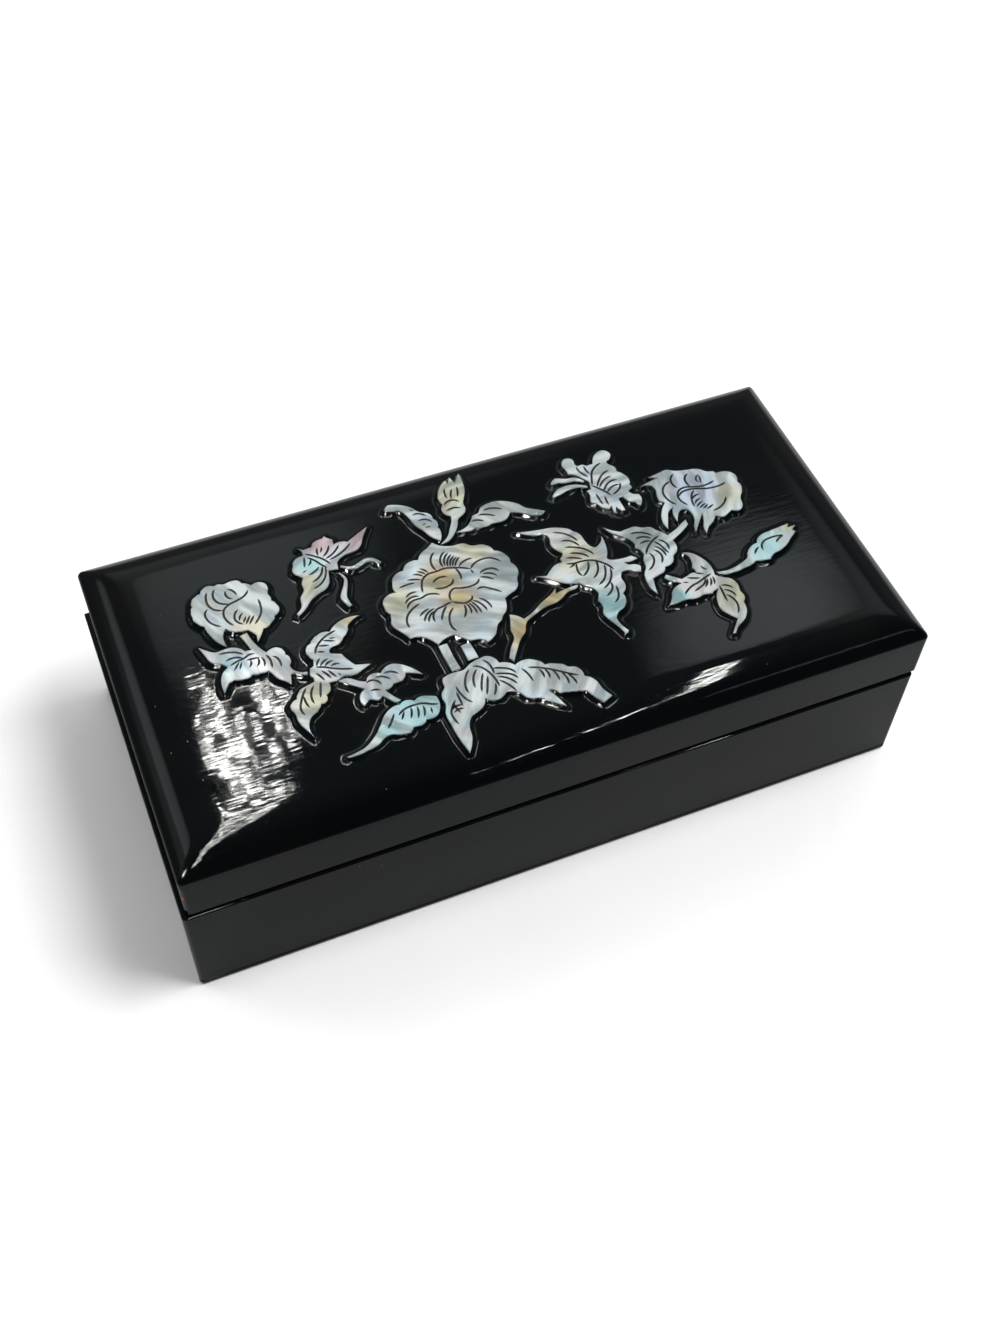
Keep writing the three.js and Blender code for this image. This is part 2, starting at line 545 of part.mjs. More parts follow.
const outlines = {
  peony_left: [
    [-70.1, 29.7, 0.4], [-67.1, 29.8, 0.25], [-64.6, 29.5, 0.2], [-60.7, 29.3, 0.2],
    [-60.1, 28.1, 0.2], [-58.0, 26.6, 0.3], [-55.3, 26.7, 0.3], [-54.2, 24.7, 0.15],
    [-54.8, 22.2, 0.25], [-54.7, 20.0, 0.2], [-53.7, 18.3, 0.3], [-54.0, 15.8, 0.2],
    [-55.3, 15.0, 0.25], [-56.5, 13.3, 0.25], [-59.2, 12.0, 0.1], [-59.9, 10.8, 0.1],
    [-61.7, 8.5, -0.1], [-61.4, 10.6, -0.1], [-63.0, 13.1, 0.1], [-65.5, 13.3, 0.1],
    [-67.1, 14.1, 0.1], [-68.0, 15.4, -0.15], [-69.0, 14.1, -0.1], [-69.5, 11.4, 0],
    [-69.3, 9.7, 0.1], [-70.9, 11.4, 0.1], [-72.2, 14.3, 0.05], [-72.9, 17.9, 0.2],
    [-74.2, 19.3, 0.25], [-74.9, 22.0, 0.2], [-74.7, 23.7, 0.3], [-74.0, 25.0, 0.3],
    [-73.8, 26.6, 0.3], [-72.6, 27.9, 0.25], [-70.9, 28.5, 0.3],
  ],
  leaves_left: [
    [-65.4, 11.8, 0], [-63.4, 12.2, 0.05], [-62.9, 9.3, 0], [-62.0, 6.8, -0.1],
    [-60.7, 4.5, 0.1], [-59.0, 5.2, 0.25], [-57.4, 4.8, 0.25], [-56.5, 3.3, 0.3],
    [-56.6, 2.2, 0.3], [-55.8, 0.6, 0.3], [-56.5, -1.3, -0.1], [-56.3, -2.7, -0.1],
    [-55.1, -4.1, 0], [-53.0, -4.8, 0], [-53.3, -5.8, 0], [-54.9, -5.0, -0.1],
    [-56.1, -4.2, -0.2], [-57.1, -4.3, 0], [-57.3, -5.2, -0.1], [-57.9, -7.1, 0.1],
    [-59.0, -5.7, 0.1], [-60.5, -4.2, 0.1], [-61.5, -1.9, -0.1], [-62.0, -1.1, 0.2],
    [-63.6, -1.2, 0.2], [-65.9, -0.9, 0.25], [-68.2, -1.5, 0.2], [-70.5, -0.9, -0.15],
    [-72.0, -1.3, -0.1], [-73.9, -3.9, 0.1], [-73.9, -1.3, 0.1], [-72.6, 2.2, 0.1],
    [-71.0, 3.4, -0.1], [-72.0, 4.7, 0.1], [-74.2, 6.1, 0.1], [-75.4, 9.3, 0.05],
    [-76.1, 12.0, -0.05], [-74.5, 10.4, -0.1], [-72.8, 9.1, 0.1], [-70.3, 9.1, 0.1],
    [-68.6, 9.1, 0.15], [-66.7, 8.2, 0.1], [-65.6, 6.8, 0.1], [-64.0, 6.5, -0.1],
    [-64.6, 8.9, 0],
  ],
  leaves_inner_left: [
    [-52.5, -5.0, 0], [-52.2, -4.2, 0], [-51.1, -3.8, 0.1], [-50.6, -1.9, 0.2],
    [-51.3, -0.5, 0.25], [-51.5, 1.2, 0.2], [-50.7, 2.7, 0.2], [-49.7, 3.1, 0.2],
    [-48.8, 4.2, 0.2], [-47.2, 5.1, 0.2], [-45.5, 5.5, 0.1], [-44.0, 5.0, 0.05],
    [-42.2, 6.6, 0.1], [-40.1, 7.5, 0.1], [-35.2, 7.3, 0.05], [-37.4, 6.6, -0.1],
    [-39.2, 5.0, 0.2], [-40.0, 3.3, 0.2], [-41.3, 2.2, 0.2], [-42.4, 1.0, 0.2],
    [-44.0, 0.3, 0.1], [-45.1, 0.2, -0.2], [-46.0, -0.7, -0.2], [-45.9, -1.6, 0.15],
    [-43.4, -2.7, 0.15], [-42.7, -4.6, 0], [-41.3, -7.1, -0.1], [-37.6, -8.2, 0.05],
    [-39.5, -8.9, 0], [-42.8, -10.0, 0.15], [-44.9, -9.4, 0.15], [-47.0, -10.0, 0.15],
    [-49.2, -9.9, 0.2], [-49.6, -12.3, 0.2], [-50.9, -13.2, 0.2], [-51.3, -15.0, 0.3],
    [-53.0, -15.3, 0.2], [-53.9, -16.6, 0.2], [-55.1, -17.5, 0.1], [-56.5, -18.4, -0.1],
    [-57.8, -21.1, -0.05], [-57.2, -24.4, 0.1], [-58.7, -21.3, 0.05], [-59.7, -18.6, 0.05],
    [-59.8, -15.7, 0.2], [-60.2, -13.4, 0.25], [-58.0, -11.9, 0.2], [-57.2, -10.3, 0.2],
    [-55.7, -9.2, 0.15], [-54.0, -8.8, 0.1], [-52.4, -8.4, -0.1], [-52.2, -7.3, -0.1],
    [-52.8, -6.3, 0],
  ],
  leaf_twig_left: [
    [-46.9, -10.5, 0.2], [-46.1, -10.2, 0.1], [-45.0, -10.2, 0.1], [-43.8, -10.7, 0],
    [-42.0, -12.2, 0], [-40.5, -13.0, -0.1], [-40.1, -12.2, 0.2], [-39.0, -11.4, 0.15],
    [-37.5, -11.3, 0.15], [-36.3, -11.8, 0.1], [-34.5, -10.4, 0.15], [-32.9, -10.1, 0.1],
    [-31.3, -10.7, 0.1], [-29.4, -12.2, 0.05], [-26.7, -15.9, 0.05], [-29.4, -14.4, -0.1],
    [-30.6, -13.9, 0.1], [-31.4, -15.3, 0.25], [-32.9, -15.9, 0.2], [-34.4, -15.9, 0.1],
    [-35.4, -16.8, 0.2], [-37.0, -17.1, 0], [-35.7, -19.5, 0], [-34.4, -21.2, 0],
    [-35.1, -21.6, 0], [-36.1, -21.4, 0], [-37.4, -19.7, 0], [-38.3, -18.5, 0.2],
    [-39.5, -19.3, 0.2], [-40.6, -18.8, 0.1], [-41.8, -18.4, 0.2], [-42.7, -19.2, 0.3],
    [-43.3, -19.6, 0.2], [-43.8, -18.0, 0.1], [-43.1, -16.1, 0.15], [-41.6, -15.0, -0.1],
    [-43.6, -13.2, 0], [-45.4, -11.7, 0.1],
  ],
  leaf_blue: [
    [-52.1, -32.2, -0.05], [-49.6, -31.9, -0.05], [-47.3, -31.3, -0.1], [-45.0, -29.9, 0],
    [-43.0, -28.1, 0], [-41.3, -26.0, 0.05], [-39.9, -24.2, 0.1], [-38.0, -22.9, 0.15],
    [-36.6, -22.4, 0.1], [-35.2, -22.5, 0.25], [-33.3, -21.8, 0.2], [-31.5, -22.7, 0.2],
    [-29.5, -22.0, 0.15], [-27.5, -22.6, 0.1], [-26.0, -23.3, 0.05], [-26.4, -27.0, 0.1],
    [-27.5, -28.5, 0.2], [-29.2, -29.1, 0.1], [-30.7, -28.9, 0.25], [-31.6, -29.8, 0.25],
    [-33.0, -30.0, 0.1], [-34.4, -29.9, 0.2], [-35.7, -31.2, 0.1], [-38.3, -30.7, 0.1],
    [-40.2, -30.0, 0.05], [-41.7, -30.3, -0.05], [-43.8, -31.6, -0.05], [-46.5, -32.3, 0],
    [-49.6, -32.7, 0], [-51.6, -32.6, 0.3],
  ],
  butterfly_left: [
    [-43.1, 34.3, -0.1], [-41.8, 33.2, -0.1], [-39.5, 33.4, 0.1], [-39.0, 34.5, 0.15],
    [-37.2, 35.2, 0.1], [-36.0, 35.2, 0.1], [-35.3, 35.9, 0.1], [-34.5, 34.8, 0.1],
    [-33.5, 34.0, 0.15], [-33.8, 32.2, 0.15], [-32.0, 32.5, 0.15], [-30.1, 31.8, 0.1],
    [-28.0, 32.9, -0.1], [-23.5, 35.0, 0.05], [-25.7, 32.0, 0.05], [-27.8, 28.8, 0.2],
    [-29.7, 28.1, 0], [-33.0, 27.5, 0], [-34.9, 26.0, -0.1], [-35.3, 23.8, 0.1],
    [-37.0, 24.1, 0.1], [-37.9, 24.3, 0], [-38.2, 22.9, 0.05], [-39.0, 20.2, 0.1],
    [-40.3, 18.7, 0.15], [-42.8, 17.7, 0.1], [-45.1, 16.4, 0], [-47.4, 14.1, 0],
    [-49.5, 12.7, 0.3], [-49.9, 13.5, -0.1], [-48.2, 15.0, -0.15], [-47.4, 18.1, 0],
    [-45.9, 20.2, 0.1], [-45.7, 22.5, 0], [-44.8, 24.1, -0.1], [-45.7, 25.2, 0.2],
    [-46.7, 27.0, 0.2], [-46.1, 28.7, 0.25], [-44.9, 30.8, 0.2], [-42.6, 31.3, 0],
    [-42.4, 32.2, -0.1],
  ],
  peony_centre: [
    [-9.4, 23.6, -0.1], [-8.0, 22.0, 0.1], [-5.2, 20.7, 0.1], [-1.7, 20.3, 0.15],
    [0.0, 18.9, 0.15], [3.0, 18.1, 0.25], [4.9, 15.1, 0.25], [7.3, 12.5, 0.25],
    [7.4, 9.8, 0.2], [8.3, 7.2, 0.2], [7.1, 4.5, 0.15], [6.2, 1.9, 0.2],
    [3.3, 0.1, 0.1], [1.5, -0.8, 0.1], [0.9, -3.4, 0.2], [-1.1, -5.8, 0.2],
    [-3.2, -7.8, 0.1], [-5.2, -10.8, 0.15], [-7.9, -12.3, 0.1], [-9.4, -10.8, 0.15],
    [-12.0, -10.2, 0.15], [-13.5, -8.7, 0.1], [-15.2, -7.2, -0.1], [-17.6, -7.5, -0.05],
    [-19.9, -8.8, 0.1], [-21.4, -6.3, 0.1], [-22.6, -5.1, 0.05], [-25.8, -4.4, 0.1],
    [-27.0, -1.9, 0.15], [-28.5, 0.7, 0.25], [-28.3, 2.8, 0.15], [-27.8, 4.8, 0.25],
    [-28.5, 7.5, 0.25], [-27.6, 10.1, 0.25], [-24.1, 11.0, 0.2], [-23.9, 14.2, 0.25],
    [-22.3, 16.6, 0.15], [-19.8, 17.2, 0.2], [-18.0, 19.2, 0.2], [-14.9, 19.2, 0.15],
    [-13.6, 21.0, 0.15], [-11.4, 22.2, -0.1],
  ],
  leaves_centre: [
    [-20.2, -18.2, 0.1], [-22.6, -18.8, 0.2], [-23.1, -21.3, 0.15], [-24.5, -23.1, 0.2],
    [-24.7, -26.1, 0.1], [-25.7, -29.0, 0.05], [-25.6, -33.4, 0], [-25.2, -37.5, 0],
    [-24.3, -41.5, 0], [-22.3, -38.1, 0], [-21.4, -34.0, -0.1], [-20.2, -32.2, 0.15],
    [-17.9, -31.2, 0.15], [-15.8, -29.8, 0.1], [-15.1, -28.2, -0.1], [-12.9, -29.7, 0.2],
    [-10.7, -29.3, 0.1], [-9.6, -28.4, 0.1], [-6.4, -29.9, 0.15], [-5.5, -31.5, 0.2],
    [-2.6, -32.9, 0.15], [-0.2, -35.1, 0.05], [2.8, -37.6, 0.1], [1.8, -34.6, -0.1],
    [0.5, -31.6, -0.3], [2.7, -33.4, 0.15], [5.9, -34.1, 0.15], [9.2, -35.1, 0.1],
    [10.2, -37.5, 0.1], [11.8, -39.8, 0.1], [14.5, -38.7, 0.1], [13.2, -36.1, 0.05],
    [12.6, -33.1, 0.2], [10.5, -30.8, 0.15], [10.2, -28.2, 0.25], [8.0, -26.8, 0.2],
    [5.4, -24.8, 0.2], [2.7, -24.1, 0.2], [0.9, -21.8, 0.2], [-2.0, -20.8, 0.15],
    [-4.3, -21.5, 0.15], [-6.1, -19.9, 0.15], [-7.8, -19.4, 0.2], [-8.5, -17.4, 0.2],
    [-10.1, -16.3, 0.15], [-11.8, -16.4, 0], [-14.9, -17.2, 0.1], [-16.6, -18.2, 0],
  ],
  bud_leaf_left: [
    [-17.4, 38.6, 0.2], [-15.8, 40.2, 0.05], [-12.9, 39.2, 0.1], [-10.3, 37.2, 0.15],
    [-8.8, 35.0, 0.15], [-6.6, 33.5, 0.25], [-6.1, 31.3, 0.25], [-5.5, 29.5, 0.2],
    [-6.1, 28.1, 0.2], [-5.8, 26.3, 0.1], [-7.0, 23.4, 0.05], [-8.8, 25.4, 0.1],
    [-10.1, 28.3, 0.05], [-11.4, 30.6, 0.05], [-12.1, 33.9, 0], [-13.2, 36.9, -0.2],
    [-15.2, 37.6, -0.1],
  ],
  bud_centre: [
    [-7.6, 22.2, -0.05], [-4.8, 24.1, 0], [-3.1, 26.7, 0], [-1.7, 29.2, -0.1],
    [-1.4, 30.6, 0.1], [-2.7, 31.9, 0.2], [-2.8, 33.9, 0.1], [-1.9, 35.1, 0.1],
    [-2.3, 37.8, 0.1], [-1.1, 40.4, 0.05], [1.8, 43.2, -0.05], [2.1, 41.8, -0.05],
    [3.3, 43.9, 0.05], [4.0, 41.4, -0.05], [6.2, 44.3, 0.05], [6.1, 40.7, 0.05],
    [5.5, 37.8, 0.1], [4.3, 35.4, 0], [3.5, 33.9, 0.15], [3.3, 31.6, 0.2],
    [1.8, 29.8, 0.1], [0.2, 28.9, -0.1], [-0.8, 26.9, 0], [-2.6, 24.5, 0.05],
    [-5.2, 22.5, 0.1],
  ],
  bud_leaf_right: [
    [-1.9, 24.8, 0.05], [0.9, 25.4, 0.05], [2.8, 26.9, 0.1], [4.0, 28.6, 0.1],
    [5.9, 28.9, 0.1], [7.1, 30.6, 0.15], [9.2, 31.2, 0.1], [11.8, 31.3, 0.15],
    [14.2, 30.4, 0.1], [16.8, 28.6, 0], [18.7, 26.1, -0.1], [21.2, 24.5, 0],
    [23.0, 23.3, 0.2], [21.5, 22.3, 0.1], [19.2, 22.9, 0.05], [16.8, 24.8, -0.05],
    [15.1, 25.7, -0.2], [13.8, 26.0, 0.1], [12.7, 24.7, 0.2], [10.1, 23.9, 0.1],
    [8.0, 24.2, 0.2], [5.6, 23.8, 0.2], [3.3, 24.3, 0.2], [0.9, 23.9, 0.1],
  ],
  twig_ochre: [
    [-4.1, -20.5, 0.05], [-4.8, -19.0, 0], [-3.2, -16.1, 0], [-1.4, -13.7, -0.1],
    [-1.1, -10.8, -0.05], [-0.2, -8.4, 0], [0.5, -6.2, 0.05], [2.1, -7.2, 0.1],
    [3.4, -8.8, 0], [6.5, -7.5, 0], [9.5, -5.6, 0], [12.7, -4.0, -0.05],
    [15.1, -2.2, 0], [14.3, -4.1, -0.1], [18.0, -3.5, 0], [20.9, -3.4, 0.2],
    [20.2, -4.2, 0.1], [17.4, -4.7, 0], [15.1, -6.1, 0.1], [13.0, -6.9, 0.1],
    [10.1, -7.2, 0], [6.2, -8.7, 0], [3.8, -9.9, 0.1], [2.1, -12.8, -0.1],
    [0.1, -14.6, 0], [-1.9, -17.2, 0],
  ],
  leaves_centre_right: [
    [12.7, 18.9, 0], [15.5, 18.2, 0], [19.5, 17.5, 0.05], [22.5, 17.0, 0.15],
    [25.4, 15.7, 0.2], [27.0, 14.0, 0.2], [28.5, 11.7, 0.15], [28.7, 9.5, 0.15],
    [29.7, 7.0, -0.2], [30.5, 6.6, 0.1], [32.5, 7.9, -0.05], [33.5, 9.6, 0.05],
    [33.4, 7.0, 0.05], [32.7, 4.2, 0], [31.6, 2.2, -0.3], [32.7, 1.1, -0.05],
    [35.2, 0.6, 0], [38.0, 0.6, 0], [39.2, -0.7, 0], [37.5, -1.1, 0],
    [35.4, -0.9, -0.4], [37.0, -2.2, 0], [38.9, -3.5, 0], [38.2, -5.3, 0],
    [37.2, -5.0, 0], [35.2, -3.6, -0.1], [33.4, -3.6, -0.1], [32.5, -5.0, 0.1],
    [32.4, -8.0, 0.2], [30.6, -10.2, 0.1], [30.3, -13.0, 0.15], [29.0, -14.5, 0.1],
    [26.9, -15.5, -0.1], [25.7, -17.0, -0.1], [26.0, -19.7, 0], [26.9, -21.7, 0.3],
    [25.7, -22.5, 0.05], [25.0, -20.0, 0.05], [23.7, -17.0, 0], [23.1, -14.5, 0.1],
    [23.9, -12.2, 0.15], [23.5, -10.2, 0.1], [24.6, -8.2, 0.15], [24.1, -6.0, 0.1],
    [22.6, -4.7, 0.1], [21.5, -3.0, 0.1], [19.2, -2.5, 0.1], [16.7, -1.0, 0.05],
    [14.5, 1.0, 0.05], [11.7, 3.0, -0.05], [14.5, 2.2, -0.1], [16.2, 3.7, 0.1],
    [18.2, 4.9, 0.1], [20.0, 5.0, 0], [20.1, 6.4, -0.2], [21.5, 8.0, 0.1],
    [20.5, 9.0, 0.1], [19.6, 11.5, 0.15], [20.2, 14.0, 0.1], [20.0, 15.2, -0.2],
    [17.5, 16.0, 0], [15.0, 17.2, 0],
  ],
  leaves_right: [
    [35.1, 12.4, 0], [37.0, 10.4, -0.1], [39.0, 9.2, 0.1], [41.2, 9.5, 0.1],
    [43.2, 9.5, 0.15], [45.0, 8.4, 0.1], [46.7, 8.0, 0.2], [48.0, 6.4, 0.15],
    [49.2, 5.1, 0.1], [50.1, 3.6, 0], [53.0, 4.7, 0], [55.5, 6.1, 0],
    [57.2, 7.0, 0], [57.0, 5.2, 0], [54.7, 3.6, 0], [52.0, 2.2, 0],
    [50.6, 1.5, 0.1], [50.5, -1.5, 0.2], [48.7, -3.2, 0.15], [47.5, -5.2, 0.2],
    [44.7, -6.1, 0.2], [43.6, -7.6, 0.1], [42.0, -8.0, 0.05], [40.1, -8.5, -0.1],
    [39.5, -11.0, 0], [39.0, -13.6, 0.1], [38.2, -12.0, 0], [38.1, -8.5, 0.05],
    [38.6, -6.4, 0.05], [39.9, -4.5, 0.1], [40.4, -2.0, 0.1], [41.4, -0.2, 0.1],
    [41.0, 1.7, 0.2], [40.1, 2.7, 0.1], [40.5, 4.2, 0.1], [40.0, 5.6, 0],
    [38.0, 8.0, 0], [36.2, 10.0, 0],
  ],
  butterfly_right: [
    [33.8, 36.5, 0.2], [34.7, 38.5, 0.3], [36.2, 39.0, 0.3], [37.6, 37.9, 0.1],
    [37.5, 36.0, -0.2], [38.0, 35.2, 0.2], [39.6, 35.2, 0.1], [40.2, 34.5, 0.05],
    [42.2, 34.6, -0.15], [42.9, 36.2, 0.1], [44.5, 37.9, 0.15], [46.5, 38.4, 0.3],
    [48.1, 37.1, 0.3], [47.9, 35.4, 0.1], [46.2, 34.2, -0.2], [46.1, 33.1, 0.15],
    [47.2, 31.7, 0.25], [47.2, 29.7, 0.15], [48.7, 27.7, 0.2], [49.1, 25.5, 0.25],
    [48.4, 24.1, 0.2], [48.6, 22.7, 0.15], [47.2, 21.9, -0.2], [47.7, 20.6, 0],
    [49.1, 20.0, 0.25], [49.4, 18.1, 0.15], [48.0, 15.9, 0.25], [47.2, 17.5, 0.1],
    [45.7, 18.5, -0.05], [44.9, 20.5, -0.2], [43.4, 20.2, -0.05], [43.5, 15.9, 0.2],
    [42.4, 16.0, 0], [41.6, 17.7, -0.2], [40.9, 15.7, 0.2], [40.2, 16.1, 0],
    [40.5, 18.5, -0.2], [39.6, 17.7, 0.15], [38.0, 18.7, 0.15], [37.1, 20.5, 0.1],
    [36.0, 21.4, 0.2], [36.5, 23.5, 0.1], [36.4, 25.9, 0.1], [37.9, 26.1, 0.1],
    [38.4, 28.9, 0.05], [37.0, 30.9, 0.05], [35.7, 32.5, 0.1], [34.2, 33.2, 0.1],
    [34.2, 35.0, 0.1],
  ],
  peony_right: [
    [50.9, 22.1, -0.05], [53.4, 22.8, 0], [56.5, 23.3, -0.05], [54.3, 24.4, 0.1],
    [57.8, 25.0, 0.1], [60.2, 25.3, 0.15], [62.3, 24.1, 0.1], [65.0, 23.4, 0.15],
    [67.8, 22.8, 0.2], [70.0, 21.1, 0.15], [72.1, 20.3, 0.1], [72.6, 19.3, 0.1],
    [75.0, 19.1, 0.2], [76.8, 17.8, 0.25], [77.3, 15.9, 0.15], [76.6, 14.3, 0.2],
    [77.0, 12.6, 0.15], [76.3, 10.9, 0.15], [74.7, 8.7, 0.1], [74.1, 6.3, 0.25],
    [72.3, 4.8, 0.25], [70.4, 5.6, 0.15], [68.6, 4.7, 0.2], [66.9, 4.3, 0.2],
    [65.3, 5.3, 0.1], [64.1, 3.9, 0.15], [61.9, 2.4, 0.05], [60.4, 0.5, 0.1],
    [60.4, 2.4, 0], [61.5, 4.8, -0.05], [62.3, 7.2, -0.1], [60.2, 4.8, 0],
    [57.8, 1.9, 0.1], [58.2, 3.9, 0.05], [59.3, 5.9, 0.05], [59.7, 8.0, 0.1],
    [59.2, 10.0, -0.2], [57.6, 10.5, -0.2], [56.0, 9.1, -0.05], [54.9, 7.2, 0.1],
    [54.7, 9.1, 0.05], [55.9, 12.1, -0.1], [54.3, 11.3, -0.05], [52.8, 8.7, 0],
    [51.3, 5.6, 0.1], [51.0, 8.5, 0.1], [52.6, 12.2, 0.05], [54.5, 14.3, -0.2],
    [53.4, 15.4, 0.15], [53.6, 17.4, 0.1], [54.2, 19.6, 0.1], [54.0, 21.1, 0.1],
    [52.6, 22.0, 0],
  ],
  leaves_low_right: [
    [50.9, -3.3, 0], [53.0, -4.1, 0.1], [54.9, -6.5, 0.1], [56.0, -9.3, 0.1],
    [55.7, -13.2, -0.1], [57.6, -14.9, 0.1], [58.9, -15.7, 0.2], [59.9, -18.5, 0.15],
    [59.5, -20.4, 0.1], [59.7, -22.4, 0.2], [58.6, -23.9, 0.1], [58.2, -26.5, 0.15],
    [56.5, -28.9, 0.1], [53.4, -30.9, 0], [52.1, -32.4, 0.2], [51.3, -32.2, 0.1],
    [53.0, -30.2, 0], [54.7, -28.3, -0.1], [53.2, -26.3, 0.15], [52.1, -24.6, 0.15],
    [52.3, -21.5, 0.1], [53.0, -19.6, 0.1], [54.4, -17.9, -0.3], [52.3, -18.6, 0.15],
    [50.2, -18.2, 0.15], [47.6, -18.6, 0.15], [44.9, -18.0, 0.1], [42.3, -18.3, 0.05],
    [40.1, -18.2, 0.05], [41.7, -16.3, 0.1], [42.8, -14.3, 0.05], [44.5, -13.1, 0.05],
    [46.2, -12.8, -0.2], [44.5, -11.5, 0], [43.0, -9.3, 0.1], [43.7, -8.6, 0],
    [44.9, -9.6, 0], [46.9, -11.4, -0.1], [48.4, -11.1, 0.1], [50.4, -10.5, 0.1],
    [51.5, -10.9, -0.2], [51.2, -8.9, 0.1], [52.0, -7.0, 0.05], [52.1, -5.4, 0],
  ],
  bud_right: [
    [56.6, -12.4, 0], [58.4, -12.9, -0.05], [61.5, -12.8, -0.05], [64.5, -11.9, 0],
    [66.5, -10.9, 0], [67.2, -9.6, 0.1], [68.2, -8.5, 0.1], [71.3, -7.3, 0.05],
    [72.0, -6.1, 0.05], [73.9, -5.1, 0.1], [76.3, -4.8, 0.05], [82.4, -4.2, 0],
    [81.5, -5.4, 0], [84.0, -5.3, 0], [82.3, -6.6, -0.1], [83.0, -7.4, 0.05],
    [80.8, -8.9, 0.05], [78.6, -10.6, 0.05], [76.0, -11.8, 0.05], [73.6, -12.4, 0.1],
    [72.1, -13.6, 0.15], [70.4, -13.4, 0.05], [68.0, -12.8, -0.1], [66.3, -13.6, 0.05],
    [63.6, -14.0, 0.05], [60.6, -14.3, 0.05], [58.0, -13.9, 0.05],
  ],
};

const strips = {
  stem_centre_left: [[-18.9, -9.1, 1.2], [-18.8, -13.5, 1.15], [-18.5, -17.7, 1.2]],
  stem_centre_right: [[-13.6, -10.9, 1.3], [-13.4, -13.0, 1.35], [-13.3, -16.0, 1.4]],
  feeler_left_high: [
    [-34.5, 24.5, 0.25], [-31.5, 22.9, 0.6], [-27.0, 24.1, 0.65], [-24.3, 21.9, 0.4],
  ],
  feeler_left_low: [
    [-35.6, 22.5, 0.2], [-34.7, 20.0, 0.4], [-35.7, 17.2, 0.6], [-37.0, 14.3, 0.85],
    [-36.3, 11.0, 0.5],
  ],
  feeler_right_high: [
    [28.4, 31.4, 0.3], [30.2, 32.3, 0.9], [32.5, 31.4, 0.75], [35.3, 30.9, 0.65],
    [37.2, 29.3, 0.3],
  ],
  feeler_right_low: [
    [27.0, 27.0, 0.3], [29.5, 28.3, 1.0], [32.5, 28.8, 0.8], [35.3, 28.3, 0.5],
    [37.3, 27.2, 0.25],
  ],
};

function inlay() {
  const stretch = new THREE.Vector2(boxLength / drawnLength, boxDepth / drawnDepth);
  const shift = new THREE.Vector2(drawingShiftX, drawingShiftY);
  const contours = {};
  for (const [name, outline] of Object.entries(outlines)) {
    contours[name] = outlinePoints(outline);
  }
  for (const [name, spine] of Object.entries(strips)) {
    contours[name] = stripPoints(spine);
  }
  return Object.entries(contours).map(([name, points]) => {
    const shape = new THREE.Shape(points.map((point) => point.add(shift).multiply(stretch)));
    const geometry = new THREE.ExtrudeGeometry(shape, {
      depth: shellThickness,
      bevelEnabled: false,
    });
    geometry.translate(0, 0, lidTop);
    return part(`inlay_${name}`, geometry, shell);
  });
}

// Assembly
const base = new THREE.Group();
base.add(...baseWalls(), bottomBoard(), ...wallLinings(), floorPad());

const lid = new THREE.Group();
lid.position.set(lidShiftX, lidShiftY, 0);
lid.add(...lidRails(), topBoard(), lidPad(), ...inlay());

const hinges = new THREE.Group();
hinges.position.set(0, hingeAxisY, hingeAxisZ);
hinges.add(...hingeParts());

const box = new THREE.Group();
box.name = "lacquer_jewelry_box";
box.add(base, lid, hinges);

export default box;
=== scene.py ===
"""The looks of a lacquer jewelry box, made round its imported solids.

Black lacquered frames and lid, engraved shell pieces standing in lacquer, velvet linings and
brass hinges. Sizes inside this file are in millimetres and become metres in the meshes.
"""

import math

import bmesh
import bpy
import numpy as np
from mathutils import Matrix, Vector
from mathutils.geometry import delaunay_2d_cdt


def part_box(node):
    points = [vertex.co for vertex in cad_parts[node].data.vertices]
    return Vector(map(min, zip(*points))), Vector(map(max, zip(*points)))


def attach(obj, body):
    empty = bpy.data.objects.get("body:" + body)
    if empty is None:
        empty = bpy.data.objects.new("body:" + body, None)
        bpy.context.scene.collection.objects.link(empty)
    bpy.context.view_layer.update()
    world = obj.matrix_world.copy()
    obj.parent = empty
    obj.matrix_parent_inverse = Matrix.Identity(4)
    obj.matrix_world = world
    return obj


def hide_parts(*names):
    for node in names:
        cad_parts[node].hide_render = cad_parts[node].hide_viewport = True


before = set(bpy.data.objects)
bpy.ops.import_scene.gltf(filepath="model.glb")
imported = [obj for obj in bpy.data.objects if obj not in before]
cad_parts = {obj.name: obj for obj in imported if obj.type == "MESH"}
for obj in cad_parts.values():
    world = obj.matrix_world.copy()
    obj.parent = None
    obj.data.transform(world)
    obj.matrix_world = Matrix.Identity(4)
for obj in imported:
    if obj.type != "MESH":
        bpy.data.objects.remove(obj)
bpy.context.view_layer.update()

bl_info = {
    "name": "Lacquer Jewelry Box",
    "version": (1, 0, 0),
    "blender": (4, 5, 0),
    "location": "3D View > Sidebar > Jewelry Box",
    "description": "Dresses the packed jewelry box in lacquer, shell, velvet and brass",
    "category": "Add Mesh",
}

MM = 0.001

# Faces, and parts of an outline or of a stroke, that turn by more than this keep a crisp corner
SHARP_ANGLE = math.radians(35)
OUTLINE_SHARP_ANGLE = math.radians(38)
STROKE_SHARP_ANGLE = math.radians(75)

# Spacing of grid lines where a surface is plain, in millimetres
COARSE_STEP = 2.5

# How many distances are worked out at once, to keep the memory small
BATCH = 2_000_000

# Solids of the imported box
BASE_WALLS = [f"base_{side}_wall" for side in ("front", "back", "left", "right")]
LID_RAILS = [f"lid_{side}_rail" for side in ("front", "back", "left", "right")]
LININGS = {side: f"base_lining_{side}" for side in ("front", "back", "left", "right")}
SHELL_NODES = sorted(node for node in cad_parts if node.startswith("inlay_"))
HINGE_NODES = sorted(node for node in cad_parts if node.startswith("hinge_"))
HINGE_PINS = [node for node in HINGE_NODES if node.endswith("pin")]

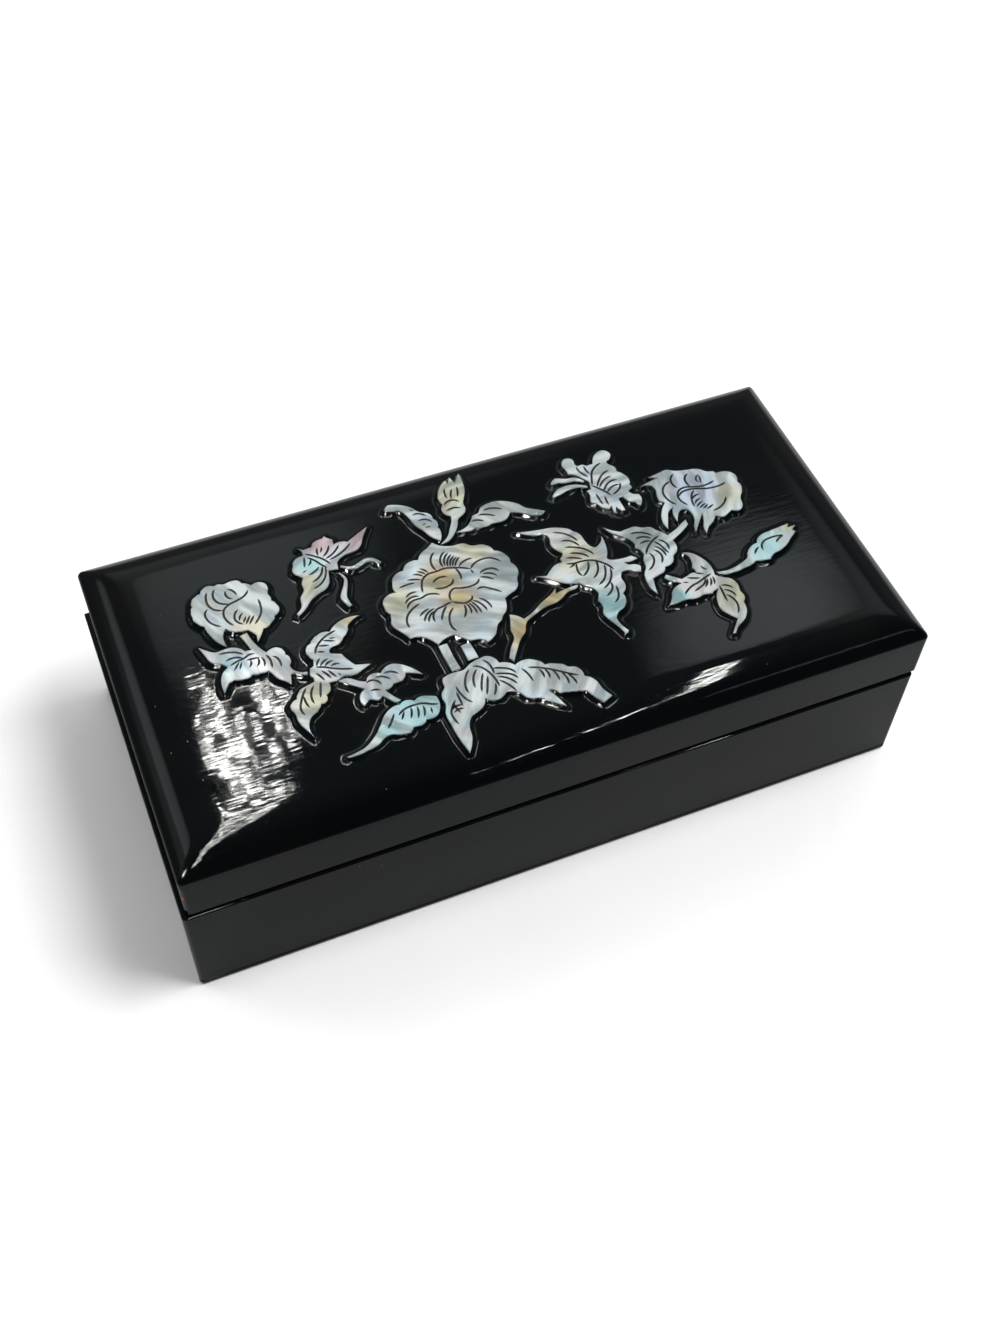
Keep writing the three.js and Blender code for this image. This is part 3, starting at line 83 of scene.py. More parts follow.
# Wooden frames
WALL = 8.0
BASE_CORNER_RADIUS = 1.3
LID_CORNER_RADIUS = 1.5
INNER_RADIUS = 0.3
CORNER_STEPS = 7
EDGE_POINTS = 5
RIM_POINTS = 14
FOOT_CHAMFER = 0.5
SEAM_ROUNDING = 0.35

# Room for the hinges in the back edges, measured from the pins
PIN_Y = 49.0
PIN_TO_RIM = 0.3
STOP_ANGLE = math.radians(50)
STOP_CLEARANCE = 0.15
BARREL_ROOM = 1.8
SEAT_DEPTH = 1.0
SEAT_REACH = 5.9
SEAT_HALF_LENGTH = 9.3

# Lid
LID_SIDE_TOP = 50.0
CROWN_HEIGHT = 4.5
CROWN_WIDTH = 13.0
CROWN_SOFTNESS = 0.3
FLAT_TOP = LID_SIDE_TOP + CROWN_HEIGHT
LID_GRID_STEP = 0.43
EDGE_DISTANCES = [0, 0.05, 0.12, 0.22, 0.36, 0.55, 0.8, 1.1, 1.5, 2, 2.7, 3.5, 4.5, 5.8, 7.2, 9, 11]
SLOPE_OUTLINE_STEP = 0.4

# Shell pieces, and the dark lines that lie on them and end at the top of the solids
SHELL_STAND = 1.2
LINE_STAND = 0.012
SHELL_TOP = FLAT_TOP + SHELL_STAND - LINE_STAND
SHELL_FOOT = FLAT_TOP + 0.4
SHELL_OUTLINE_STEP = 0.28
SHELL_GRID_STEP = 0.6
LINE_STEP = 0.25
LINE_TAPER = 1.1
LINE_INSET = 0.12
LINE_THICKNESS = 0.06
STAIN_AND_SHADE_STRENGTH = 0.9
GOLDEN_ANGLE = 2.4

# Velvet panels: rim height and shoulder radius
FLOOR_PAD_RIM, FLOOR_PAD_SHOULDER = 0.6, 1.6
LID_PAD_RIM, LID_PAD_SHOULDER = 0.5, 1.5
STRIP_RIM, STRIP_SHOULDER = 0.4, 0.8

# The floor pad's extra height over its solid, and the bulge of a strip
FLOOR_PAD_RISE = 0.2
STRIP_CROWN = 0.3

# Places on the lid's left side
CHIP_PLACE = (-98.8, -48.9, 43.2)
CHIP_RADIUS = 0.8
DUST_PLACE = (-62.0, -20.0, 55.0)
DUST_FADE = (20.0, 60.0)

# Stage, in metres
FLOOR_RADIUS = 3.0
FLOOR_SIDES = 96
FLOOR_FADE = (0.46, 0.62)
FLOOR_GLOW = 0.04
KEY_PLACE = (1.3, -0.4, 2.3)
KEY_SIZE = 1.3
CAMERA_PLACE = (-0.103147, -0.232391, 0.367501)
CAMERA_TURN = (36.5101, -1.48998, -22.24069)
CAMERA_LENS = 42.127

# Bands of light: x, y and width at places along each, and the length and width of a slat
BAND_HEIGHT = 1.05
WINDOW_BAND = [
    (0.035, 0.75, 0.104),
    (0.029, 0.654, 0.096),
    (0.014, 0.6, 0.076),
    (0.008, 0.557, 0.07),
    (-0.04, 0.122, 0.046),
    (-0.08, -0.186, 0.05),
    (-0.12, -0.75, 0.05),
]
WINDOW_SLAT = (0.011, 0.007)
FRONT_BAND = [
    (0.24, -0.74, 0.02),
    (0.421, -0.275, 0.025),
    (0.422, -0.187, 0.03),
    (0.432, 0.123, 0.035),
    (0.468, 0.31, 0.04),
]
FRONT_SLAT = (0.018, 0.015)
SIDE_BAND = [(0.8, -0.76, 0.6), (0.8, -0.66, 0.6)]
SIDE_SLAT = (1.0, 1.0)
CEILING_BAND = [(-0.62, -0.52, 0.2), (-0.6, -0.3, 0.2)]
CEILING_SLAT = (0.03, 0.03)

# Soft bright places of the room: turn from +Y to +X, rise, radius, in degrees, and brightness
ROOM_PLACES = [
    (9.5, 49.5, 6, 4.2),
    (4, 38, 17, 1.9),
    (38.5, 50.5, 4.6, 7.4),
    (54, 46, 12, 2.4),
    (-46, 38, 12, 5.2),
    (-58, 28, 14, 1.6),
]

# Lines cut into the shell, each a list of points on the lid
ENGRAVING = {
    "peony_left": [
        [(-59.4, 24.3), (-60.7, 22.8), (-63, 21.9), (-65.3, 21.3), (-66.8, 20.3), (-67.5, 18.5),
         (-67.2, 16.3), (-66, 14.4)],
        [(-69.5, 27.2), (-70.3, 25), (-70.2, 22.6), (-69.2, 21), (-67.2, 20.1)],
        [(-67.3, 27.5), (-68.3, 25.8), (-68.1, 23.6), (-66.9, 22.2), (-65.2, 21.6)],
        [(-70.7, 21.8), (-71.8, 20.6), (-71.8, 18.6), (-70.8, 16.6), (-69, 15.2)],
        [(-64.9, 26), (-65.2, 24.6), (-64.7, 23.4), (-63.8, 22.8)],
        [(-64.4, 26.2), (-63.6, 25.9), (-62.9, 24.9), (-62.6, 23.6)],
        [(-57.9, 20.5), (-57.9, 18.2), (-58.4, 16), (-59.6, 14.3), (-61, 12.9)],
        [(-63.6, 19), (-64.9, 17.6), (-65.2, 16), (-64.7, 14.9), (-63.6, 13.9)],
        [(-62.8, 17.5), (-63.9, 16.4), (-64.3, 15.3)],
        [(-62.3, 16.2), (-63.6, 14.3)],
        [(-61.3, 16.1), (-63.1, 13.6)],
        [(-60.3, 15.8), (-62.3, 13.3)],
    ],
    "leaves_left": [
        [(-72.2, 6.9), (-70, 6.7), (-68, 6), (-66.4, 4.7)],
        [(-71.1, 4.2), (-69.8, 4.6), (-68.2, 4.4), (-66.9, 3.7)],
        [(-70.5, 2.5), (-68.5, 3.2), (-66.5, 3.6), (-65, 4.2), (-63.7, 3.9)],
        [(-66.3, 2.7), (-64.3, 2.6), (-62.9, 2.4)],
        [(-68, 2.9), (-70, 0.7)],
        [(-67.5, 2.7), (-68.6, 0.5)],
        [(-65.3, 2.5), (-65.5, 1.2), (-66.3, 0.3)],
        [(-63.4, 2.5), (-63.5, 1.1), (-64.4, -0.1)],
        [(-62.6, 2.4), (-62.2, 1), (-62.7, -0.7)],
        [(-61.4, 2.7), (-60.8, 1.4), (-60.7, 0), (-61, -1.8)],
        [(-59.9, 1.7), (-59, 0.8), (-58.6, -0.8), (-58.8, -2.3)],
    ],
    "leaves_inner_left": [
        [(-42.6, 3.7), (-45, 3.1), (-47.2, 1.9), (-48.8, 0.4), (-49.8, -1.6)],
        [(-45.1, 2), (-43.5, 1.5)],
        [(-46.7, 1.8), (-43.8, 0.6)],
        [(-48.4, 0.6), (-45.6, -0.2)],
        [(-49.3, -1), (-47.2, -1.8)],
        [(-49, -3.2), (-50.1, -4.2), (-50.6, -5.5)],
        [(-47.2, -4), (-48.6, -4.5), (-49.8, -5.6)],
        [(-46.2, -5), (-47.6, -5.2), (-48.7, -6.1)],
        [(-45, -6.6), (-46, -6.2), (-47.4, -6.6)],
        [(-51, -5.5), (-49, -6.2), (-47.3, -7.2), (-45.5, -8.1), (-42.3, -9.2)],
        [(-51.5, -7.2), (-50.7, -8.6), (-50.1, -10.2)],
        [(-50, -7), (-49, -8.6), (-48.4, -10.1)],
        [(-48.4, -7.4), (-47.7, -8.9), (-47, -10.2)],
        [(-46.3, -9.2), (-45.9, -10.1)],
        [(-55.1, -10.6), (-57.6, -14.4), (-58.2, -15.9), (-57.8, -18.3)],
        [(-56.4, -12.8), (-56.5, -14.7), (-56.1, -16.6)],
        [(-53.1, -10.6), (-54.5, -12.8), (-54.8, -14.7), (-54.6, -15.9)],
        [(-51.2, -10.2), (-52, -12.5), (-52.7, -14.7)],
    ],
    "leaf_twig_left": [
        [(-40.9, -14.7), (-39.7, -14.2), (-38.4, -14.7), (-37.5, -16.4)],
        [(-38.4, -13.9), (-37, -13.9), (-35.8, -14.6), (-34.9, -15.6)],
        [(-36, -13.4), (-34.6, -13.3), (-33.4, -13.8), (-32.5, -14.8)],
        [(-40.8, -17.2), (-39.6, -17.2), (-38.2, -17.9)],
    ],
    "leaf_blue": [
        [(-36.8, -26.6), (-35, -25.4), (-32.5, -25), (-30, -25.3), (-27.8, -26.4), (-26.2, -26.9)],
        [(-37.6, -25.6), (-39, -27.6), (-40.5, -29.3)],
        [(-35.1, -25.9), (-36.5, -28.1)],
        [(-33.2, -25.3), (-33.5, -26.8), (-34.3, -28.5)],
        [(-31.7, -25.6), (-31.9, -27.3), (-32.6, -29)],
        [(-30.3, -25.9), (-30.4, -27.6), (-31.1, -29.1)],
        [(-28.6, -27), (-28.9, -28.9)],
    ],
    "butterfly_left": [
        [(-42.1, 30.6), (-40, 29), (-38, 27), (-36.9, 24.9)],
        [(-42, 29.2), (-40.4, 27.6), (-39.2, 25.6), (-38.1, 24.1)],
        [(-38.4, 31.6), (-38.9, 30), (-39, 28.8)],
        [(-37.3, 31.5), (-37.6, 30.4), (-38.2, 29.6)],
        [(-35.3, 31.3), (-36, 29.8), (-38, 28)],
        [(-32.8, 30.5), (-34.3, 28.8), (-37.5, 27.1)],
        [(-29.7, 30), (-32.4, 28), (-36.7, 26.4)],
        [(-42.6, 29.7), (-43, 28), (-43.6, 26.2)],
        [(-41.3, 28.4), (-41.8, 27), (-42.6, 26.4)],
        [(-40, 25.2), (-41.4, 24), (-43.3, 23.4)],
        [(-39.2, 25), (-40.3, 22.5), (-43.2, 20.8)],
        [(-38.5, 24.6), (-39.6, 21.2), (-41.4, 19.4), (-43.6, 18.6)],
        [(-44.5, 24.7), (-43.4, 25.1)],
    ],
    "peony_centre": [
        [(-17.8, 7.3), (-17.3, 9.5), (-16.2, 11.6), (-14.5, 12.6), (-12, 12.7), (-9.8, 12.9),
         (-7.5, 12.3), (-5, 11.3), (-3.4, 10.3)],
        [(-7.2, 12.1), (-6.7, 10.5), (-7, 7.8)],
        [(-3.4, 10.3), (-2.2, 11.5), (0, 12.3), (2.5, 12.1), (4.1, 11), (5, 9.9)],
        [(-3.5, 10.2), (-3.2, 8.6)],
        [(-14.3, 9.3), (-13.2, 10.2), (-11.6, 10.5), (-10, 10)],
        [(-14.5, 7.6), (-12.8, 6.9), (-11, 7), (-9.6, 7.6), (-8.9, 9)],
        [(-13.9, 5.1), (-15.4, 6), (-17, 6.3), (-18.7, 5.8), (-21, 5.7), (-22.5, 5), (-23.3, 3.6)],
        [(-2.5, 6.6), (-3.5, 5.4), (-5.5, 4.9), (-8, 5.2), (-10, 5.7), (-11, 5.1), (-11.9, 2.1)],
        [(-11.9, 1.9), (-10.6, 1), (-9, 0.3), (-7.5, 0.5), (-6.7, 1), (-6.4, 2.1)],
        [(-11.9, 1.8), (-13.3, 1.6), (-14.8, 1.2), (-16.3, 0.9), (-17.5, 0), (-18.2, -2.8)],
        [(-19.8, 4.2), (-22.5, 3), (-24.3, 1.3), (-25, -0.6), (-24.9, -2.3)],
        [(-12.2, -0.1), (-13.7, -1.5), (-14.7, -3.8), (-14.8, -6), (-14.1, -7.5)],
        [(-10.2, 19.1), (-11.8, 17.5), (-12.4, 15.2), (-11.9, 12.9)],
        [(-7.6, 18.3), (-9.2, 17), (-10, 15), (-9.8, 13.4)],
        [(-6.9, 17.6), (-8.6, 16), (-9.2, 13.6)],
        [(-6.3, 16.8), (-8, 15.2), (-8.6, 13.1)],
        [(-5.7, 16.1), (-7.3, 14.8), (-8, 12.9)],
        [(-5.2, 15.5), (-6.7, 14.4), (-7.4, 12.7)],
        [(-4.6, 15.2), (-6.2, 13.8), (-6.9, 12.5)],
        [(-1.6, 13.6), (-3.5, 13.6), (-5, 13), (-6, 12.1)],
        [(-15.9, 15.2), (-14.9, 14.3), (-14.2, 13)],
        [(-16.9, 14.5), (-15.6, 13.6), (-14.9, 12.7)],
        [(-18.3, 13.8), (-16.6, 13.2), (-15.8, 12.3)],
        [(-20.2, 12.6), (-18.4, 12.2), (-16.7, 11.5)],
        [(-23, 10.9), (-20.8, 11.2), (-18.5, 11.1)],
        [(-22.5, 7.2), (-21.2, 8.1), (-19.1, 8.1)],
        [(-23.3, 5.4), (-21.5, 6.8), (-19.1, 6.5)],
        [(-21.3, 0.2), (-19.8, 1.3), (-18, 1.8)],
        [(-20.7, -1.8), (-19.4, 0.2), (-16.8, 1.4)],
        [(-19.7, -2.4), (-18.7, -0.4), (-17, 0.6)],
        [(-16.5, -3), (-15.3, -0.7), (-13.6, 1.1)],
        [(-9.4, 0), (-9.7, -2.4), (-10.9, -4.1)],
        [(-8.9, 0.1), (-8.3, -1.5), (-8.7, -3.6)],
        [(-8.2, 0.1), (-7.3, -2), (-7.2, -4.1)],
        [(-7.4, 0.2), (-6.4, -2), (-6.1, -4.3)],
        [(-6.8, 0.4), (-5.2, -1.4), (-4.5, -4.1)],
        [(-5.1, 0.5), (-3.7, -1), (-3.1, -3.8)],
        [(-1.8, 8), (0.2, 8.8), (2.3, 8.3), (3.2, 7)],
        [(-1.2, 7.6), (0.9, 7.1), (2.2, 5.7)],
        [(-2.2, 6.9), (-0.5, 6.2), (1, 4.8)],
        [(-4.5, 3.2), (-3.2, 3.6), (-1, 2.3), (1.3, 0.2)],
    ],
    "leaves_centre": [
        [(-14.6, -19.2), (-13, -20), (-11.6, -22), (-10.8, -24.6), (-10.6, -27.3)],
        [(-15.7, -19.7), (-17.6, -22), (-18.5, -24.5), (-18.4, -26.5)],
        [(-13.9, -20.4), (-15.7, -22.6), (-16.3, -25.6)],
        [(-12.9, -22), (-14.3, -24.6), (-15.3, -27.3)],
        [(-12.2, -23.3), (-13.3, -26), (-14.5, -28.6)],
        [(-11.2, -26), (-11.9, -28), (-12.9, -29.4)],
        [(-11.6, -18.3), (-10.6, -19.7), (-10.3, -21.7), (-10.4, -23.4)],
        [(-10.2, -21.6), (-8, -22.3), (-6, -23.6), (-5.2, -25)],
        [(-10.2, -23.4), (-8.3, -24), (-6.3, -25.1), (-5.3, -26.7)],
        [(-10, -24.4), (-8.4, -25.2), (-7, -26.6), (-6.2, -28.2)],
        [(-10, -25.5), (-8.6, -27.2), (-7.2, -30.2)],
        [(-3.5, -24.2), (-2.7, -26), (-2.3, -28.9)],
        [(-1.9, -24.5), (0.6, -25.5), (3, -26.9), (5.3, -28.6), (7, -29.9), (9, -31.2)],
        [(0.4, -25.9), (0.9, -27.4), (0.7, -29)],
        [(1.7, -26.3), (2.2, -27.8), (2, -29.6)],
        [(3.3, -27.2), (4, -28.9), (3.9, -31)],
        [(5.3, -28.8), (5.9, -30.6), (5.7, -32.9)],
        [(6.4, -29.3), (7.3, -31.2), (7.6, -33.6)],
        [(-20.7, -23.4), (-20.4, -26), (-19.4, -28.4), (-18.5, -29.4)],
        [(-21.2, -25), (-21.2, -27.3), (-21.2, -29.5)],
        [(-24.3, -29.9), (-22.6, -29), (-21.1, -29.2)],
        [(-23.9, -30.7), (-22.5, -30.1), (-21.1, -30.4)],
        [(-23, -28), (-22.9, -29.6), (-22.4, -31.3)],
        [(-22.2, -27.2), (-23.6, -28.8), (-24.6, -30.6), (-24.6, -32), (-24, -34.3)],
    ],
    "bud_leaf_left": [
        [(-11.3, 35.5), (-10.2, 34.8)],
        [(-11.2, 33.2), (-9.8, 33.4), (-8.4, 32.6), (-7.6, 31.8)],
        [(-10.4, 30.8), (-9, 30.9), (-7.7, 30.2), (-7, 29.2)],
        [(-9.8, 29.2), (-8.6, 29.2)],
        [(-9.4, 28), (-7.8, 27.9)],
    ],
    "bud_centre": [
        [(0.4, 39.3), (-0.2, 37.6), (-0.2, 35.6)],
        [(2.2, 38.5), (1.3, 36.9), (0.8, 35.1)],
        [(3.7, 38.8), (3.2, 36.6), (2.6, 35.2)],
        [(-1.9, 33.5), (-1, 34.4), (0.3, 34.7), (1.6, 34.3), (2.4, 33.4)],
        [(-2.1, 31.4), (-0.9, 31.8), (0.6, 31.8), (2, 31.1)],
    ],
    "bud_leaf_right": [
        [(2.8, 25.5), (3.6, 25.7), (4.8, 25.4), (6.1, 24.5)],
        [(5.2, 27), (6.5, 26.9), (8.2, 26.2), (9.6, 25.1)],
        [(7.3, 28), (8.7, 28.3), (10.6, 27.8), (12.3, 26.8)],
    ],
    "leaves_centre_right": [
        [(21.5, 14.2), (24, 13), (25.8, 11), (26.6, 9.2)],
        [(22.3, 10.6), (24.6, 10), (26, 8.3), (26.4, 7.3)],
        [(22.5, 8.3), (25, 7.4), (27.3, 5.8), (28.8, 3.3)],
        [(22.8, 5.9), (25, 5.2), (26.6, 3.9), (27.2, 2.9)],
        [(21.3, 4.8), (23.6, 4), (25.3, 2.9)],
        [(20.5, 3), (22.5, 2.4), (25, 2.3), (27.6, 1.6), (29.2, 0.4), (30.6, -1.2), (31.5, -3.3)],
        [(20.8, 1.4), (22.3, 1.9), (23.2, 2.4)],
        [(23.2, 2.2), (22.6, 0.5), (22.5, -1.2), (23, -2.4)],
        [(26.2, 1.8), (25.6, -0.2), (24.3, -1.7), (23, -2.5)],
        [(28.3, 1.4), (28, -0.8), (27, -2.7), (25.2, -4.1)],
        [(29.8, -0.8), (29.2, -3), (27.8, -5.3), (25.6, -6.6)],
        [(30.8, -2.4), (29.8, -5.3), (28, -7.3), (26.3, -8.2)],
        [(28.9, -6.7), (28.7, -8.5), (27.4, -10), (26, -10.8)],
        [(29.7, -8.3), (29.4, -10.5), (28.6, -12.3), (27.1, -13.4)],
    ],
    "leaves_right": [
        [(40.6, 6.4), (42.5, 6.2), (44.6, 5.2), (45.9, 3.8)],
        [(41.2, 4.2), (42.8, 4.4), (44.4, 3.8), (45.3, 3)],
        [(41.6, 2.3), (43.2, 2.6), (44.9, 2.2)],
        [(47.6, 3.1), (45.6, 2.3), (43.5, 0.8), (41.6, -1.6)],
        [(45.4, 1.8), (46.6, -0.2), (47.2, -2.4), (47.6, -3.3)],
        [(46.7, 1.9), (48, 0.7), (48.4, -0.6), (48, -2.3)],
        [(44.9, 0.3), (46.2, -1.7), (46.4, -4)],
        [(44, -0.8), (45.2, -2.4), (45.2, -4), (44.1, -5.8)],
        [(42.5, -1.4), (43, -3), (42.2, -5.1), (39.8, -6.8)],
    ],
    "leaves_low_right": [
        [(54.7, -13.7), (52.6, -14.3), (50.4, -15.1), (48.3, -15.6), (45.2, -17.6)],
        [(52.9, -13), (51.3, -12.2), (50.6, -11.7)],
        [(51.5, -14), (49.5, -13.3), (48.2, -12.7)],
        [(47.9, -14.3), (46.5, -13.7)],
        [(52.6, -14.5), (51.6, -16), (49.7, -16.9), (48, -17.5)],
        [(53, -14.7), (52.3, -16.2), (51.2, -17.3)],
        [(53.9, -14.8), (53.5, -16.2), (52.6, -17.4)],
        [(54.6, -14.6), (54.5, -15.8), (53.9, -17.2)],
        [(53.4, -10.2), (53.6, -11.2), (54.5, -12)],
        [(54.9, -18), (54.8, -19.6), (54.6, -21.6), (54.5, -23.6)],
        [(55.2, -18.2), (56.8, -18.7), (57.9, -20.2)],
        [(55.3, -19.7), (56.7, -20.7), (57.4, -22.8)],
        [(55.2, -21.4), (56.2, -22.9), (56.5, -25.2), (55.2, -28)],
    ],
    "butterfly_right": [
        [(37.2, 34), (37.2, 32.4), (37.9, 30.8), (38.7, 29.3)],
        [(39.2, 33.5), (39.2, 31.8), (39.6, 30.3)],
        [(44.1, 33), (42.2, 32.2), (40.4, 30.6), (39.3, 28.2), (38.6, 26.2)],
        [(45.1, 29.7), (43.2, 29.1), (41.2, 27.4), (39.5, 25)],
        [(44.8, 27.5), (42.8, 27), (41.2, 25.9), (40, 24.6)],
        [(45.8, 25.6), (44.2, 25.8), (42.4, 25), (41.2, 23.8), (40.6, 23)],
        [(45.7, 23.8), (44, 23.9), (42.4, 23.2), (41.3, 22.2)],
        [(46, 24.4), (45.4, 22.9), (44, 21.7), (42.2, 21.1)],
        [(38, 26.3), (39.4, 24.8), (40.7, 23), (41.9, 20.8)],
        [(38.2, 23), (38.2, 20.8), (38.4, 18.6)],
        [(40.1, 21.3), (39.8, 19.8), (39.8, 17.9)],
    ],
    "peony_right": [
        [(61.2, 22), (59.7, 20.8), (59.2, 19), (59.9, 16.9)],
        [(59.1, 19.8), (57, 19), (55.5, 17), (55.4, 14.5), (56.2, 12.5), (57, 11.5)],
        [(64.9, 20.7), (63.4, 19.6), (63, 17.8), (63.4, 16.3)],
        [(67.5, 19.5), (66.4, 18.6), (66, 17.6), (66.5, 16.8)],
        [(67.4, 19.3), (67.2, 17.8), (66.7, 16.3)],
        [(59.9, 10.3), (58.8, 12), (58.6, 14), (60, 16), (62, 16.4), (64, 15.8), (66.5, 15.2),
         (69, 15.4), (70.5, 15.9)],
        [(58.9, 13.9), (60.2, 15), (62.2, 15.3), (64.5, 14.9), (67, 14), (70, 13.6), (72, 13.8),
         (73.2, 14.2)],
        [(63.9, 14.6), (62.4, 13.2), (61.6, 11.5), (61.3, 9)],
        [(64.6, 12.8), (63, 12.6), (61.9, 11.7)],
        [(64.2, 11.3), (62.8, 10.9), (61.8, 9.9)],
        [(64.3, 10.1), (62.9, 9.6), (61.8, 8.7)],
        [(64.6, 9.1), (63.4, 8.7), (62.3, 8)],
        [(65, 8.8), (64, 8), (63, 7.7)],
        [(66.5, 8.1), (65.3, 7.6), (64, 7.1)],
        [(70.9, 9.4), (69.5, 7.6), (67.4, 6.4), (65.2, 6)],
    ],
    "bud_right": [
        [(71.4, -11.4), (71.7, -9.9), (72.8, -8.7), (75, -8.2), (77, -8.2), (78.6, -8.6),
         (77.2, -9.2), (75.8, -10.2)],
        [(68.6, -11.9), (69.6, -10.7), (70.9, -9.9)],
    ],
}

# Places where the shell shows another colour, or painted shade: colour, x, y, radius
SHELL_STAINS_AND_SHADES = [
    ("pink", -37, 33, 7),
    ("pink", -28, 32, 8),
    ("teal", -42, 27, 5),
    ("cream", -45, 20, 6),
    ("cream", -62, 12, 6),
    ("teal", -70, 3, 5),
    ("ochre", -39, 7, 4),
    ("cream", -54, -15, 8),
    ("teal", -31, -26, 10),
    ("teal", -40, -30, 5),
    ("ochre", -12, 10, 7),
    ("ochre", -10, 2, 6),
    ("cream", 0, 17, 7),
    ("cream", -25, 7, 6),
    # The five grey patches below are painted shade, where the nacre's sheen turns away
    ("painted_shade", 5, 8, 7),
    ("painted_shade", -22, 19, 6),
    ("painted_shade", 21, 18, 7),
    ("painted_shade", -23, 36, 5),
    ("painted_shade", 43, 4, 6),
    ("cream", 1, 36, 8),
    ("rose", 9, 28, 7),
    ("rose", 21, 15, 8),
    ("cream", 24, 5, 8),
    ("teal", 26, -14, 7),
    ("ochre", 2, -14, 8),
    ("ochre", 13, -6, 7),
    ("lilac", 64, 15, 9),
    ("cream", 72, 10, 5),
    ("rose", 50, -15, 8),
    ("cream", 57, -22, 7),
    ("teal", 44, -18, 4),
    ("teal", 72, -10, 7),
    ("cream", 82, -6, 4),
]


# Colours and node trees
def colour(hex_code):
    """An sRGB colour such as "#0b0c0e" in the linear values that materials use, with alpha 1."""
    channels = np.array([int(hex_code[i : i + 2], 16) for i in (1, 3, 5)]) / 255
    linear = np.where(channels <= 0.04045, channels / 12.92, ((channels + 0.055) / 1.055) ** 2.4)
    return (*linear.tolist(), 1.0)


def add_node(tree, kind, inputs=None, **settings):
    """One node with its settings. Each named input is linked where it gets a socket, else set."""
    node = tree.nodes.new(kind)
    for name, value in settings.items():
        setattr(node, name, value)
    for name, value in (inputs or {}).items():
        if isinstance(value, bpy.types.NodeSocket):
            tree.links.new(value, node.inputs[name])
        else:
            node.inputs[name].default_value = value
    return node


def new_material(name):
    """An empty material with its node tree."""
    material = bpy.data.materials.new(name)
    material.use_nodes = True
    material.node_tree.nodes.clear()
    return material


def finish_material(material, surface):
    """Links a shader to the output, and gives the material back."""
    add_node(material.node_tree, "ShaderNodeOutputMaterial", {"Surface": surface.outputs[0]})
    return material


def per_size(millimetres):
    """The scale of a noise whose features have this size."""
    return 1 / (millimetres * MM)


def soft_range(tree, value, low, high, to_low=0.0, to_high=1.0):
    """Turns value from the range low to high into the range to_low to to_high, smoothly."""
    inputs = {"Value": value, "From Min": low, "From Max": high, "To Min": to_low, "To Max": to_high}
    return add_node(tree, "ShaderNodeMapRange", inputs, interpolation_type="SMOOTHSTEP").outputs[0]


def blended(tree, factor, first, second):
    """The colour first where factor is 0 and second where it is 1."""
    inputs = {0: factor, 6: first, 7: second}
    return add_node(tree, "ShaderNodeMix", inputs, data_type="RGBA").outputs[2]


def noise_at(tree, place, size, detail=2.0, roughness=0.5):
    """A noise from 0 to 1 with features of a size in millimetres."""
    inputs = {"Vector": place, "Scale": per_size(size), "Detail": detail, "Roughness": roughness}
    return add_node(tree, "ShaderNodeTexNoise", inputs).outputs[0]


def waves(tree, height, depth, below=None):
    """A bump of a depth in millimetres, over another one where given."""
    inputs = {"Height": height, "Distance": depth * MM, "Strength": 1.0}
    if below is not None:
        inputs["Normal"] = below
    return add_node(tree, "ShaderNodeBump", inputs).outputs[0]


